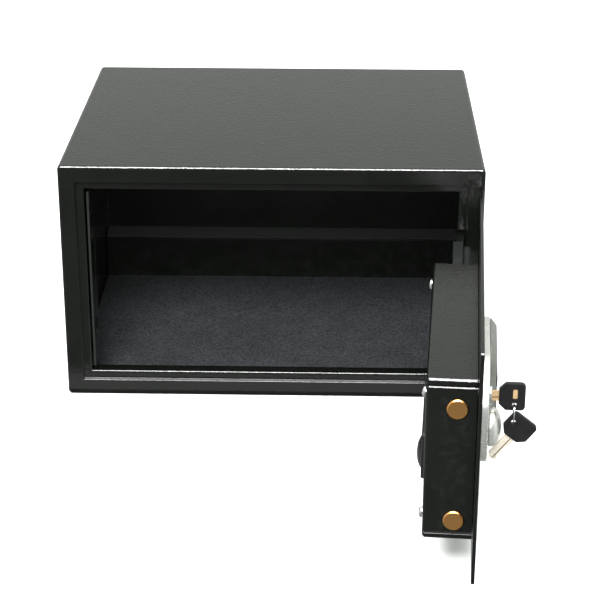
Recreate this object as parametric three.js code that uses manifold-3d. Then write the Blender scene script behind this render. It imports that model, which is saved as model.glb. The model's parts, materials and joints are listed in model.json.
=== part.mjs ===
// In-room hotel safe with its door standing open. Millimetres, +Z up.
// Origin: centre of the underside of the case. +X: towards the hinge side. +Y: towards the back.
// The case is modelled with y measured from its front face, and every door piece is modelled
// where it sits with the door shut, then turned about the hinge line by DOOR_ANGLE.
import * as THREE from "three";
import { mergeVertices } from "three/addons/utils/BufferGeometryUtils.js";
import Module from "manifold-3d";

const wasm = await Module();
wasm.setup();

// ---------- driving dimensions ----------
const WIDTH = 400;
const HEIGHT = 236;
const DEPTH = 335;
const SHEET = 2; // case sheet
const GAP = 0.3; // between pieces that touch
const BEND = 4; // outer bend radius along the case's long edges
const FRONT_BEND = 2.5;
const BORDER = 16; // front border round the door recess
const RECESS_DEPTH = 4.2;
const LEDGE = 8; // door stop inside the recess

const DOOR_ANGLE = THREE.MathUtils.degToRad(86.2); // how far the door stands open
const HINGE_X = 192.5;
const HINGE_Y = 6.5;
const PIN_R = 2.25;
const EYE_R = 4;

const PLATE = 3; // door plate thickness
const PLATE_FRONT = 0.5; // set back from the case's front face
const PLATE_BACK = PLATE_FRONT + PLATE;
const DOOR_GAP = 1.5; // round the plate, except at the hinge side
const HINGE_GAP = 2.5;

const COVER_LEFT = -162; // mechanism cover on the back of the door
const COVER_RIGHT = 78;
const COVER_BOTTOM = 46;
const COVER_TOP = 186.5;
const COVER_BACK = 43.6;
const COVER_SHEET = 1.5;
const SCREW_INSET_X = 12;
const SCREW_INSET_Z = 17;

const BOLT_R = 8.5;
const BOLT_Y = 19;
const BOLT_LENGTH = 52;
const BOLT_TIP = COVER_LEFT - 2;
const BOLT_HEIGHTS = [161.5, 63.5];

const CONTROL_X = -84; // knob and lock share one upright line
const KNOB_Z = 108;
const LOCK_Z = 136.5;
const KNOB_R = 16.5;
const SHAFT_R = 4;
const PINION_TEETH = 16;
const GEAR_MODULE = 1.5;
const PITCH_R = (PINION_TEETH * GEAR_MODULE) / 2;
const BOLT_THROW = (PITCH_R * Math.PI) / 2; // a quarter turn of the pinion

const FASCIA = { left: -106, right: 30, bottom: 69, top: 163, corner: 20 };
const FASCIA_FRONT = -6.8;
const PAD = { left: -48, right: 22, bottom: 74.5, top: 156.5, corner: 12 };
const PAD_FRONT = -12.8;
const PAD_BEVEL = 5.6;

const KEY_THICK = 5;
const KEY_BOW_LENGTH = 21.5;
const KEY_BOW_HEIGHT = 24;
const KEY_BLADE_LENGTH = 24.5;
const KEY_BLADE_HEIGHT = 8.5;
const KEY_BLADE_THICK = 2.2;
const KEY_HOLE = { along: -12.8, across: -7.2, r: 2.1 };
const KEY_EDGE_Y = -14.5; // where the inserted key's bow begins
const RING_R = 7.2;
const RING_WIRE = 0.75;
const SPARE_TILT = THREE.MathUtils.degToRad(-52);

// ---------- shape helpers ----------
function solidOf(geometry) {
  const bare = geometry.index ? geometry.toNonIndexed() : geometry.clone();
  bare.deleteAttribute("normal");
  bare.deleteAttribute("uv");
  const merged = mergeVertices(bare, 1e-4);
  return new wasm.Manifold(
    new wasm.Mesh({
      numProp: 3,
      vertProperties: new Float32Array(merged.attributes.position.array),
      triVerts: new Uint32Array(merged.index.array),
    }),
  );
}

function geometryOf(solid) {
  const mesh = solid.getMesh();
  const geometry = new THREE.BufferGeometry();
  geometry.setAttribute("position", new THREE.BufferAttribute(new Float32Array(mesh.vertProperties), 3));
  geometry.setIndex(new THREE.BufferAttribute(new Uint32Array(mesh.triVerts), 1));
  const flat = geometry.toNonIndexed();
  flat.computeVertexNormals();
  return flat;
}

const join = (...solids) => solids.reduce((whole, next) => whole.add(next));
const cut = (solid, ...tools) => tools.reduce((rest, tool) => rest.subtract(tool), solid);

// A box between two corners.
function block(x0, x1, y0, y1, z0, z1) {
  const box = new THREE.BoxGeometry(x1 - x0, y1 - y0, z1 - z0);
  box.translate((x0 + x1) / 2, (y0 + y1) / 2, (z0 + z1) / 2);
  return solidOf(box);
}

// A rectangle with round corners, as a shape.
function roundedRect(left, right, bottom, top, r) {
  const shape = new THREE.Shape();
  shape.moveTo(left + r, bottom);
  shape.lineTo(right - r, bottom);
  shape.absarc(right - r, bottom + r, r, -Math.PI / 2, 0);
  shape.lineTo(right, top - r);
  shape.absarc(right - r, top - r, r, 0, Math.PI / 2);
  shape.lineTo(left + r, top);
  shape.absarc(left + r, top - r, r, Math.PI / 2, Math.PI);
  shape.lineTo(left, bottom + r);
  shape.absarc(left + r, bottom + r, r, Math.PI, 1.5 * Math.PI);
  return shape;
}

// A shape drawn in x and z, given thickness from y0 to y1.
function upright(shape, y0, y1, curveSegments = 4) {
  const slab = new THREE.ExtrudeGeometry(shape, { depth: y1 - y0, bevelEnabled: false, curveSegments });
  slab.rotateX(Math.PI / 2);
  slab.translate(0, y1, 0);
  return solidOf(slab);
}

// The same with its front edge sloped or rounded inwards by bevel.
function bevelled(shape, y0, y1, bevel, rise, bevelSegments, curveSegments = 4) {
  const slab = new THREE.ExtrudeGeometry(shape, {
    depth: y1 - y0 - rise,
    bevelSize: bevel,
    bevelOffset: -bevel,
    bevelThickness: rise,
    bevelSegments,
    curveSegments,
  });
  slab.rotateX(Math.PI / 2);
  slab.translate(0, y1 - rise, 0);
  const wide = 1000;
  return cut(solidOf(slab).translate(0, rise, 0), block(-wide, wide, y1, y1 + wide, -wide, wide));
}

// A profile of [radius, distance] points turned about an axis along y, from a centre in x and z.
function turnedY(profile, x, z, segments) {
  const lathe = new THREE.LatheGeometry(profile.map(([r, y]) => new THREE.Vector2(r, y)), segments);
  lathe.translate(x, 0, z);
  return solidOf(lathe);
}

const rodY = (r, x, z, y0, y1, segments = 20) =>
  turnedY([[0, y0], [r, y0], [r, y1], [0, y1]], x, z, segments);

function rodX(r, y, z, x0, x1, segments = 24) {
  const rod = new THREE.CylinderGeometry(r, r, x1 - x0, segments);
  rod.rotateZ(Math.PI / 2);
  rod.translate((x0 + x1) / 2, y, z);
  return solidOf(rod);
}

function rodZ(r, x, y, z0, z1, segments = 24) {
  const rod = new THREE.CylinderGeometry(r, r, z1 - z0, segments);
  rod.rotateX(Math.PI / 2);
  rod.translate(x, y, (z0 + z1) / 2);
  return solidOf(rod);
}

const finish = (color, roughness, metalness) =>
  new THREE.MeshStandardMaterial({ color, roughness, metalness });

const BLACK_PAINT = finish(0x1d2020, 0.5, 0.3);
const DARK_FELT = finish(0x2b2d35, 1.0, 0.0);
const STEEL = finish(0xa9abad, 0.35, 1.0);
const CHROME = finish(0xd8dadb, 0.12, 1.0);
const BRASS = finish(0xb98a4c, 0.3, 1.0);
const SILVER = finish(0xc9cbc8, 0.25, 0.7);
const SMOKE = finish(0x3a3d38, 0.35, 0.1);
const BLACK_PLASTIC = finish(0x17181a, 0.45, 0.0);
const GLASS = finish(0x0c1413, 0.08, 0.0);
const BOARD = finish(0x1f5a35, 0.6, 0.1);
const RUBBER = finish(0x141414, 0.9, 0.0);
const CELL = finish(0x30343a, 0.4, 0.3);

// ---------- the two frames of reference ----------
const safe = new THREE.Group();

const fromFront = new THREE.Group();
fromFront.position.y = -DEPTH / 2;
safe.add(fromFront);

const swing = new THREE.Group();
swing.position.set(HINGE_X, HINGE_Y, 0);
swing.rotation.z = DOOR_ANGLE;
fromFront.add(swing);

const door = new THREE.Group();
door.position.set(-HINGE_X, -HINGE_Y, 0);
swing.add(door);

function place(parent, name, solid, material) {
  const mesh = new THREE.Mesh(geometryOf(solid), material);
  mesh.name = name;
  parent.add(mesh);
}

const MIDDLE = HEIGHT / 2;

// A rectangle centred on the case's front, given by its half width and half height.
const centred = (halfWidth, halfHeight, r) =>
  roundedRect(-halfWidth, halfWidth, MIDDLE - halfHeight, MIDDLE + halfHeight, r);

// ---------- case ----------
const recessHalfWidth = WIDTH / 2 - BORDER;
const recessHalfHeight = HEIGHT / 2 - BORDER;

function caseShell() {
  const outside = bevelled(centred(WIDTH / 2, HEIGHT / 2, BEND), 0, DEPTH, FRONT_BEND, FRONT_BEND, 2, 3);
  const inside = upright(centred(WIDTH / 2 - SHEET, HEIGHT / 2 - SHEET, BEND - SHEET), SHEET, DEPTH + 1);
  const doorway = upright(centred(recessHalfWidth, recessHalfHeight, 1), -1, SHEET + 1);
  return cut(outside, inside, doorway);
}

const panelY = DEPTH - SHEET - GAP;
const ANCHOR_R = 6;
const ANCHOR_X = 110;
const ANCHOR_Z = 150;

function backPanel() {
  const panel = upright(
    centred(WIDTH / 2 - SHEET - GAP, HEIGHT / 2 - SHEET - GAP, BEND - SHEET),
    panelY,
    panelY + SHEET,
  );
  const holes = [-ANCHOR_X, ANCHOR_X].map((x) => rodY(ANCHOR_R, x, ANCHOR_Z, panelY - 1, DEPTH + 1, 16));
  return cut(panel, ...holes);
}

// A rubber plug that fills an anchor hole from inside.
function anchorPlug(x) {
  const head = panelY - GAP;
  const profile = [
    [0, head - 2],
    [6.5, head - 2],
    [8, head - 1],
    [8, head],
    [ANCHOR_R - GAP, head],
    [ANCHOR_R - GAP, panelY + SHEET],
    [0, panelY + SHEET],
  ];
  return turnedY(profile, x, ANCHOR_Z, 16);
}

// Hinges: the arm's thin neck passes the door stop in a notch.
const NECK_HEIGHT = 12;
const HINGES = [
  { name: "upper", low: 160, block: [160, 185], foot: [164, 180] },
  { name: "lower", low: 60, block: [47, 72], foot: [52, 68] },
];
const EAR = 3;
const EAR_GAP = 0.4;

const NOTCH_CLEAR = 3; // above and below each hinge neck
const notchTop = (hinge) => hinge.low + NECK_HEIGHT + NOTCH_CLEAR;
const notchBottom = (hinge) => hinge.low - NOTCH_CLEAR;

// Folded frame behind the front border: the recess wall, the ledge the door shuts on, and a return.
function stopFrame() {
  const wall = 2;
  const foldBack = 12;
  const inner = [recessHalfWidth - LEDGE, recessHalfHeight - LEDGE];
  const frame = (half, depth0, depth1) => upright(centred(half[0], half[1], 1), depth0, depth1, 1);
  const outer = [recessHalfWidth + wall, recessHalfHeight + wall];
  const ledgeBack = RECESS_DEPTH + 1.5;
  const recess = frame([recessHalfWidth, recessHalfHeight], 0, RECESS_DEPTH);
  const ledge = cut(frame(outer, SHEET + GAP, ledgeBack), recess);
  const returned = frame([inner[0] + 1.5, inner[1] + 1.5], RECESS_DEPTH, ledgeBack + foldBack);
  const innerX = recessHalfWidth - LEDGE;
  const boltNotches = BOLT_HEIGHTS.map((z) => rodX(BOLT_R + 1, BOLT_Y, z, -innerX - 4, -innerX + 4));
  return cut(join(ledge, returned), frame(inner, 0, 40), ...boltNotches);
}

const hingeSide = (low, high) => block(recessHalfWidth - LEDGE - 2, WIDTH / 2, 0, 40, low, high);
const doorStop = () => cut(stopFrame(), hingeSide(notchBottom(HINGES[1]), notchTop(HINGES[0])));
const hingeSideStop = () => stopFrame().intersect(hingeSide(notchTop(HINGES[1]), notchBottom(HINGES[0])));

// An upright strip behind the door stop with a hole for each bolt.
function strikePlate() {
  const x = -(recessHalfWidth - LEDGE) + 1.5 + GAP;
  const strip = block(x, x + 2, RECESS_DEPTH + 1.8, 38, 28, HEIGHT - 28);
  const foot = block(-WIDTH / 2 + SHEET + GAP, x + 2, 36, 38, 28, HEIGHT - 28);
  const holes = BOLT_HEIGHTS.map((z) => rodX(BOLT_R + 1, BOLT_Y, z, x - 5, x + 5));
  return cut(join(strip, foot), ...holes);
}

function hingeBracket(hinge) {
  const side = WIDTH / 2 - SHEET - GAP;
  const low = hinge.low - EAR_GAP - EAR;
  const high = hinge.low + NECK_HEIGHT + EAR_GAP + EAR;
  const ears = [low, high - EAR].map((z) => block(187, side, SHEET + 0.6, 22, z, z + EAR));
  const base = block(195.6, side, 13, 22, low, high);
  return cut(join(...ears, base), rodZ(PIN_R + 0.15, HINGE_X, HINGE_Y, low - 1, high + 1));
}

const hingePin = (hinge) =>
  rodZ(PIN_R, HINGE_X, HINGE_Y, hinge.low - EAR_GAP - EAR - 1, hinge.low + NECK_HEIGHT + EAR_GAP + EAR + 1);

const CHANNEL_FRONT = 299;
const CHANNEL_TOP = 50;
const channelHalfWidth = WIDTH / 2 - SHEET - 1.2;

// Folded cover across the foot of the back wall.
function rearChannel() {
  const half = channelHalfWidth;
  const sheet = 1.5;
  const top = block(-half, half, CHANNEL_FRONT, panelY - GAP, CHANNEL_TOP - sheet, CHANNEL_TOP);
  const front = block(-half, half, CHANNEL_FRONT, CHANNEL_FRONT + sheet, SHEET + GAP, CHANNEL_TOP);
  return join(top, front);
}

const MAT_THICK = 3;

function floorMat() {
  const half = WIDTH / 2 - SHEET - 2;
  const under = SHEET + GAP;
  return block(-half, half, 8, CHANNEL_FRONT - 1, under, under + MAT_THICK);
}

place(fromFront, "case_shell", caseShell(), BLACK_PAINT);
place(fromFront, "back_panel", backPanel(), BLACK_PAINT);
place(fromFront, "anchor_plug_left", anchorPlug(-ANCHOR_X), RUBBER);
place(fromFront, "anchor_plug_right", anchorPlug(ANCHOR_X), RUBBER);
place(fromFront, "door_stop", doorStop(), BLACK_PAINT);
place(fromFront, "hinge_side_stop", hingeSideStop(), BLACK_PAINT);
place(fromFront, "strike_plate", strikePlate(), BLACK_PAINT);
place(fromFront, "rear_channel", rearChannel(), BLACK_PAINT);
place(fromFront, "floor_mat", floorMat(), DARK_FELT);
for (const hinge of HINGES) {
  place(fromFront, `hinge_bracket_${hinge.name}`, hingeBracket(hinge), STEEL);
  place(fromFront, `hinge_pin_${hinge.name}`, hingePin(hinge), STEEL);
}

// ---------- door plate, hinge arms and mechanism cover ----------
const plateLeft = -recessHalfWidth + DOOR_GAP;
const plateRight = recessHalfWidth - HINGE_GAP;
const plateBottom = BORDER + DOOR_GAP;
const plateTop = HEIGHT - BORDER - DOOR_GAP;
const screwHeights = [COVER_TOP - SCREW_INSET_Z, COVER_BOTTOM + SCREW_INSET_Z];
const freeSideScrews = screwHeights.map((z) => [COVER_LEFT + SCREW_INSET_X, z]);
const hingeSideScrews = screwHeights.map((z) => [COVER_RIGHT - SCREW_INSET_X, z]);
const screwPlaces = [...freeSideScrews, ...hingeSideScrews];
const BUSH_R = 6.5;
const HOUSING_R = 8;
const STUD_R = 3.5;
const SCREW_R = 1.6;
const studEnd = COVER_BACK - COVER_SHEET - GAP;

function doorPlate() {
  const outline = roundedRect(plateLeft, plateRight, plateBottom, plateTop, 1.5);
  const sheet = bevelled(outline, PLATE_FRONT, PLATE_BACK, 0.6, 0.6, 1, 2);
  const studs = hingeSideScrews.map(([x, z]) => rodY(STUD_R, x, z, PLATE_BACK - 1, studEnd, 12));
  const taps = hingeSideScrews.map(([x, z]) => rodY(SCREW_R + GAP, x, z, studEnd - 16, studEnd + 1, 10));
  const openings = [
    rodY(BUSH_R + GAP, CONTROL_X, KNOB_Z, -1, 5),
    rodY(HOUSING_R + GAP, CONTROL_X, LOCK_Z, -1, 5),
    upright(roundedRect(8, 24, 108, 124, 3), -1, 5), // keypad cable
  ];
  return cut(join(sheet, ...studs), ...taps, ...openings);
}

function hingeArm(hinge) {
  const neckTop = hinge.low + NECK_HEIGHT;
  const eye = rodZ(EYE_R, HINGE_X, HINGE_Y, hinge.low, neckTop);
  const behind = block(188.5, 195, HINGE_Y, 24, hinge.low, neckTop);
  const along = block(130, 195, 17, 24, hinge.low, neckTop);
  const body = block(COVER_RIGHT + 0.4, 134, 10.5, 27, ...hinge.block);
  const foot = block(84, 124, PLATE_BACK + GAP, 11, ...hinge.foot);
  const bore = rodZ(PIN_R + 0.1, HINGE_X, HINGE_Y, hinge.low - 1, neckTop + 1);
  return cut(join(eye, behind, along, body, foot), bore);
}

const TRAY = { left: -115, right: -9, bottom: 77, top: 113 };

// The cover is a box with no side towards the plate.
function doorCover() {
  const shape = roundedRect(COVER_LEFT, COVER_RIGHT, COVER_BOTTOM, COVER_TOP, 4.2);
  const bend = 3.6;
  const mirrored = bevelled(shape, -COVER_BACK, -(PLATE_BACK + GAP), bend, bend, 2, 3);
  const outside = mirrored.mirror([0, 1, 0]);
  const s = COVER_SHEET;
  const inside = upright(
    roundedRect(COVER_LEFT + s, COVER_RIGHT - s, COVER_BOTTOM + s, COVER_TOP - s, 2.5),
    0,
    COVER_BACK - s,
  );
  const boltHoles = BOLT_HEIGHTS.map((z) => rodX(BOLT_R + 0.4, BOLT_Y, z, COVER_LEFT - 3, COVER_LEFT + 6));
  const screwHoles = screwPlaces.map(([x, z]) => rodY(SCREW_R + 0.5, x, z, 38, 46, 12));
  const batteryDoor = block(TRAY.left - GAP, TRAY.right + GAP, 38, 46, TRAY.bottom - GAP, TRAY.top + GAP);
  return cut(outside, inside, ...boltHoles, ...screwHoles, batteryDoor);
}

// Domed screw that holds the cover to a stud, or to the bolt guide on the free side.
function coverScrew([x, z]) {
  const seat = COVER_BACK + GAP;
  const headR = 4.5;
  const domeHeight = 3.2;
  const dome = [0, 1, 2, 3].map((i) => {
    const turn = (i / 4) * (Math.PI / 2);
    return [headR * Math.cos(turn), seat + 0.6 + (domeHeight - 0.6) * Math.sin(turn)];
  });
  const tip = 28.4;
  const profile = [[0, tip], [SCREW_R, tip], [SCREW_R, seat], [headR, seat], ...dome];
  return turnedY([...profile, [0, seat + domeHeight]], x, z, 12);
}

place(door, "door_plate", doorPlate(), BLACK_PAINT);
place(door, "door_cover", doorCover(), BLACK_PAINT);
for (const hinge of HINGES) place(door, `hinge_arm_${hinge.name}`, hingeArm(hinge), BLACK_PAINT);
screwPlaces.forEach((spot, i) => place(door, `cover_screw_${i + 1}`, coverScrew(spot), CHROME));

// ---------- battery pack ----------
const CELL_R = 7.1;
const CELL_Y = 36;
const trayCentreX = (TRAY.left + TRAY.right) / 2;
const trayCentreZ = (TRAY.bottom + TRAY.top) / 2;

function batteryTray() {
  const wall = 1.2;
  const back = 27.6;
  const outside = block(TRAY.left, TRAY.right, back, COVER_BACK - 0.4, TRAY.bottom, TRAY.top);
  const room = block(TRAY.left + wall, TRAY.right - wall, back + 1, 50, TRAY.bottom + wall, TRAY.top - wall);
  return cut(outside, room);
}

function batteryCell(x, z) {
  const half = 24.2;
  const body = rodX(CELL_R, CELL_Y, z, x - half, x + half - 0.4, 16);
  return join(body, rodX(2.6, CELL_Y, z, x, x + half + 0.8, 12));
}

const LID_RIM = 3;
const LID_TOP = COVER_BACK + 3;
const GRIP = { x: -92, z: 87, length: 23, height: 13, rise: 7 };

// Shallow lid with a rounded finger grip at its free end.
function batteryLid() {
  const { left, right, bottom, top } = TRAY;
  const shape = roundedRect(left - LID_RIM, right + LID_RIM, bottom - LID_RIM, top + LID_RIM, 4);
  const mirrored = bevelled(shape, -LID_TOP, -(COVER_BACK + GAP), 1, 1, 1, 3);
  const ball = solidOf(new THREE.SphereGeometry(1, 24, 16)).scale([GRIP.length, GRIP.rise, GRIP.height]);
  const reach = GRIP.length + 1;
  const { x, z } = GRIP;
  const under = block(x - reach, x + reach, COVER_BACK - 9, COVER_BACK + 1.5, z - reach, z + reach);
  const grip = cut(ball.translate([GRIP.x, COVER_BACK, GRIP.z]), under);
  const pocket = block(left + 1, right - 1, 40, COVER_BACK + 1.4, bottom + 1, top - 1);
  return cut(join(mirrored.mirror([0, 1, 0]), grip), pocket);
}

place(door, "battery_tray", batteryTray(), BLACK_PLASTIC);
[-1, 1].forEach((across, column) =>
  [1, -1].forEach((up, row) => {
    const cell = batteryCell(trayCentreX + across * 25.6, trayCentreZ + up * 7.9);
    place(door, `battery_${column * 2 + row + 1}`, cell, CELL);
  }),
);
place(door, "battery_cover", batteryLid(), BLACK_PLASTIC);

// ---------- bolt work ----------
const CARRIAGE_FRONT = 7;
const CARRIAGE_BACK = 10;
const SOLENOID_X = -40;
const SOLENOID_Z = 137;
const PLUNGER_R = 2;
const TOOTH_PITCH = GEAR_MODULE * Math.PI;
const TOOTH_ABOVE = GEAR_MODULE * 0.9;
const TOOTH_BELOW = GEAR_MODULE * 1.2;

// Shaft that joins the knob to the pinion, with the pinion cut on it.
function knobShaft() {
  const rootR = PITCH_R - TOOTH_BELOW;
  const tipR = PITCH_R + TOOTH_ABOVE;
  const step = (2 * Math.PI) / PINION_TEETH;
  const outline = new THREE.Shape();
  // Tooth 0 points straight up at the rack; each flank is a straight line.
  for (let tooth = 0; tooth < PINION_TEETH; tooth++) {
    const middle = Math.PI / 2 + tooth * step;
    const corners = [[rootR, -0.33], [tipR, -0.1], [tipR, 0.1], [rootR, 0.33]];
    corners.forEach(([r, part], i) => {
      const angle = middle + part * step;
      const x = CONTROL_X + r * Math.cos(angle);
      const z = KNOB_Z + r * Math.sin(angle);
      if (tooth === 0 && i === 0) outline.moveTo(x, z);
      else outline.lineTo(x, z);
    });
  }
  const pinion = upright(outline, CARRIAGE_FRONT, CARRIAGE_BACK);
  return join(pinion, rodY(SHAFT_R, CONTROL_X, KNOB_Z, -12, 12.5));
}

// Bolt carriage: an upright plate for the bolts and an arm with the rack over the pinion.
function boltCarriage() {
  const upRight = upright(roundedRect(-140, -110, 63, 169.4, 3), CARRIAGE_FRONT, CARRIAGE_BACK, 2);
  const arm = upright(roundedRect(-120, -8, 88, 151, 3), CARRIAGE_FRONT, CARRIAGE_BACK, 2);
  const tipR = PITCH_R + TOOTH_ABOVE;
  const rootZ = KNOB_Z + PITCH_R + TOOTH_BELOW;
  const front = CARRIAGE_FRONT - 1;
  const back = CARRIAGE_BACK + 1;
  const clear = tipR + 2;
  const window = block(CONTROL_X - clear, CONTROL_X + clear + BOLT_THROW, front, back, KNOB_Z - clear, rootZ);
  const reach = HOUSING_R + 1;
  const slotRight = CONTROL_X + reach + BOLT_THROW;
  const slot = roundedRect(CONTROL_X - reach, slotRight, LOCK_Z - reach, LOCK_Z + reach, reach - 0.1);
  const lockSlot = upright(slot, front, back, 6);
  const pinHoles = [0, BOLT_THROW].map((shift) =>
    rodY(PLUNGER_R + 0.6, SOLENOID_X + shift, SOLENOID_Z, front, back, 16),
  );
  const plate = cut(join(upRight, arm), window, lockSlot, ...pinHoles);
  const teeth = [];
  for (let i = -2; i <= 6; i++) {
    const middle = CONTROL_X + (i + 0.5) * TOOTH_PITCH;
    const tooth = new THREE.Shape();
    tooth.moveTo(middle - 0.33 * TOOTH_PITCH, rootZ + 0.5);
    tooth.lineTo(middle - 0.1 * TOOTH_PITCH, KNOB_Z + PITCH_R - TOOTH_ABOVE);
    tooth.lineTo(middle + 0.1 * TOOTH_PITCH, KNOB_Z + PITCH_R - TOOTH_ABOVE);
    tooth.lineTo(middle + 0.33 * TOOTH_PITCH, rootZ + 0.5);
    teeth.push(upright(tooth, CARRIAGE_FRONT, CARRIAGE_BACK));
  }
  return join(plate, ...teeth);
}

// Round bolt with a chamfered nose.
function bolt(z) {
  const nose = 1.2;
  const profile = [[0, 0], [BOLT_R - nose, 0], [BOLT_R, nose], [BOLT_R, BOLT_LENGTH], [0, BOLT_LENGTH]];
  const lathe = new THREE.LatheGeometry(profile.map(([r, y]) => new THREE.Vector2(r, y)), 28);
  lathe.rotateZ(-Math.PI / 2);
  lathe.translate(BOLT_TIP, BOLT_Y, z);
  return solidOf(lathe);
}

// Bracket that carries the back of both bolts, standing on the plate above and below the carriage.
// Its flange passes over the bolts and takes two of the cover screws.
function boltGuide() {
  const x = -134;
  const web = block(x, x + 3, CARRIAGE_BACK + 0.4, 31, 50, 182);
  const legs = [[50, 54], [171, 182]].map(([low, high]) => block(x, x + 3, PLATE_BACK + GAP, 12, low, high));
  const feet = [[50, 54], [171, 182]].map(([low, high]) =>
    block(x, x + 14, PLATE_BACK + GAP, PLATE_BACK + GAP + 2, low, high),
  );
  const bores = BOLT_HEIGHTS.map((z) => rodX(BOLT_R + 0.4, BOLT_Y, z, x - 2, x + 5));
  const flange = block(x - 22, x + 3, 29, 31, 50, 182);
  const taps = freeSideScrews.map(([screwX, z]) => rodY(SCREW_R + GAP, screwX, z, 28, 32, 10));
  return cut(join(web, flange, ...legs, ...feet), ...bores, ...taps);
}

function solenoidBody() {
  const coil = rodY(7, SOLENOID_X, SOLENOID_Z, 11, 26, 20);
  const shelf = block(SOLENOID_X - 9, SOLENOID_X + 9, 11, 13, SOLENOID_Z - 9, 160);
  const leg = block(SOLENOID_X - 9, SOLENOID_X + 9, PLATE_BACK + GAP, 13, 157, 160);
  return cut(join(coil, shelf, leg), rodY(PLUNGER_R + 0.3, SOLENOID_X, SOLENOID_Z, 10, 27, 16));
}

// The plunger is drawn back clear of the carriage, whose two holes it enters to hold the bolts.
function solenoidPlunger() {
  const tip = CARRIAGE_BACK + 0.4;
  return rodY(PLUNGER_R, SOLENOID_X, SOLENOID_Z, tip, tip + 15, 16);
}

place(door, "bolt_guide", boltGuide(), STEEL);
place(door, "bolt_carriage", boltCarriage(), STEEL);
place(door, "bolt_upper", bolt(BOLT_HEIGHTS[0]), BRASS);
place(door, "bolt_lower", bolt(BOLT_HEIGHTS[1]), BRASS);
place(door, "solenoid", solenoidBody(), STEEL);
place(door, "solenoid_plunger", solenoidPlunger(), STEEL);

// ---------- keypad housing ----------
// Base plate: a half circle at the knob end, small corners at the other.
function fasciaBase() {
  const { left, right, bottom, top, corner } = FASCIA;
  const end = (top - bottom) / 2;
  const outline = new THREE.Shape();
  outline.moveTo(left + end, bottom);
  outline.lineTo(right - corner, bottom);
  outline.absarc(right - corner, bottom + corner, corner, -Math.PI / 2, 0);
  outline.lineTo(right, top - corner);
  outline.absarc(right - corner, top - corner, corner, 0, Math.PI / 2);
  outline.lineTo(left + end, top);
  outline.absarc(left + end, bottom + end, end, Math.PI / 2, 1.5 * Math.PI);
  const slab = bevelled(outline, FASCIA_FRONT, PLATE_FRONT - GAP, 1.2, 1.2, 2, 8);
  const openings = [
    rodY(BUSH_R + GAP, CONTROL_X, KNOB_Z, -10, 5),
    rodY(HOUSING_R + GAP, CONTROL_X, LOCK_Z, -10, 5),
  ];
  return cut(slab, ...openings);
}

const WINDOW = { left: -41, right: 15, bottom: 138, top: 152 };
const padCentreX = (PAD.left + PAD.right) / 2;
const KEY_LABELS = ["1", "2", "3", "4", "5", "6", "7", "8", "9", "clear", "0", "lock"];
const KEY_PITCH_X = 19;
const KEY_PITCH_Z = 14;
const KEY_TOP_ROW = 127;
const KEY_HALF = [7.5, 5];
const KEY_WELL_FLOOR = -8.2;
const keySpots = KEY_LABELS.map((label, i) => ({
  label,
  x: padCentreX + ((i % 3) - 1) * KEY_PITCH_X,
  z: KEY_TOP_ROW - Math.floor(i / 3) * KEY_PITCH_Z,
}));

const keyOutline = (spot, grow, r) =>
  roundedRect(
    spot.x - KEY_HALF[0] - grow,
    spot.x + KEY_HALF[0] + grow,
    spot.z - KEY_HALF[1] - grow,
    spot.z + KEY_HALF[1] + grow,
    r,
  );

// Raised pad with sloping sides, a well for each key and a shallow seat for the display window.
function keypadModule() {
  const b = PAD_BEVEL;
  const foot = roundedRect(PAD.left - b, PAD.right + b, PAD.bottom - b, PAD.top + b, PAD.corner + b);
  const slab = bevelled(foot, PAD_FRONT, FASCIA_FRONT - GAP, b, FASCIA_FRONT - GAP - PAD_FRONT - 1, 2, 5);
  const wells = keySpots.map((spot) => upright(keyOutline(spot, 0.4, 1.6), PAD_FRONT - 1, KEY_WELL_FLOOR, 1));
  const seat = upright(
    roundedRect(WINDOW.left - GAP, WINDOW.right + GAP, WINDOW.bottom - GAP, WINDOW.top + GAP, 2.3),
    PAD_FRONT - 1,
    PAD_FRONT + 1.8,
    3,
  );
  return cut(slab, ...wells, seat);
}

// A key stands proud of the pad by KEY_PROUD and can sink by KEY_TRAVEL.
const KEY_PROUD = 1.4;
const KEY_TRAVEL = 1.6;
const keypadKey = (spot) =>
  bevelled(keyOutline(spot, 0, 1.5), PAD_FRONT - KEY_PROUD, KEY_WELL_FLOOR - KEY_TRAVEL, 0.6, 0.6, 1, 1);

function displayWindow() {
  const outline = roundedRect(WINDOW.left, WINDOW.right, WINDOW.bottom, WINDOW.top, 2);
  return upright(outline, PAD_FRONT - 0.2, PAD_FRONT + 1.5, 3);
}

place(door, "fascia_base", fasciaBase(), SILVER);
place(door, "keypad_module", keypadModule(), SMOKE);
place(door, "display_window", displayWindow(), GLASS);
for (const spot of keySpots) place(door, `keypad_key_${spot.label}`, keypadKey(spot), BLACK_PLASTIC);
place(door, "control_board", block(2, 58, 9, 10.6, 66, 160), BOARD);

// ---------- knob ----------
const KNOB_BACK = FASCIA_FRONT - 0.5;
const KNOB_FRONT = -17.6;

// Low dome on a short straight rim, with a groove that shows which way it is turned.
function knobCap() {
  const rim = 3.2;
  const rise = KNOB_BACK - rim - KNOB_FRONT;
  const dome = [];
  for (let i = 0; i < 5; i++) {
    const turn = (i / 5) * (Math.PI / 2);
    dome.push([KNOB_R * Math.cos(turn), KNOB_BACK - rim - rise * Math.sin(turn)]);
  }
  const profile = [[0, KNOB_FRONT], ...dome.reverse(), [KNOB_R, KNOB_BACK], [0, KNOB_BACK]];
  const cap = turnedY(profile, CONTROL_X, KNOB_Z, 30);
  const socket = rodY(SHAFT_R + GAP, CONTROL_X, KNOB_Z, -12.4, 0);
  const groove = block(CONTROL_X - 0.8, CONTROL_X + 0.8, -30, KNOB_FRONT + 1.2, KNOB_Z - 20, KNOB_Z - 2);
  return cut(cap, socket, groove);
}

function spindleBush() {
  const sleeve = rodY(BUSH_R, CONTROL_X, KNOB_Z, FASCIA_FRONT, 6.4);
  return cut(sleeve, rodY(SHAFT_R + 0.12, CONTROL_X, KNOB_Z, -10, 10));
}

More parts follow.
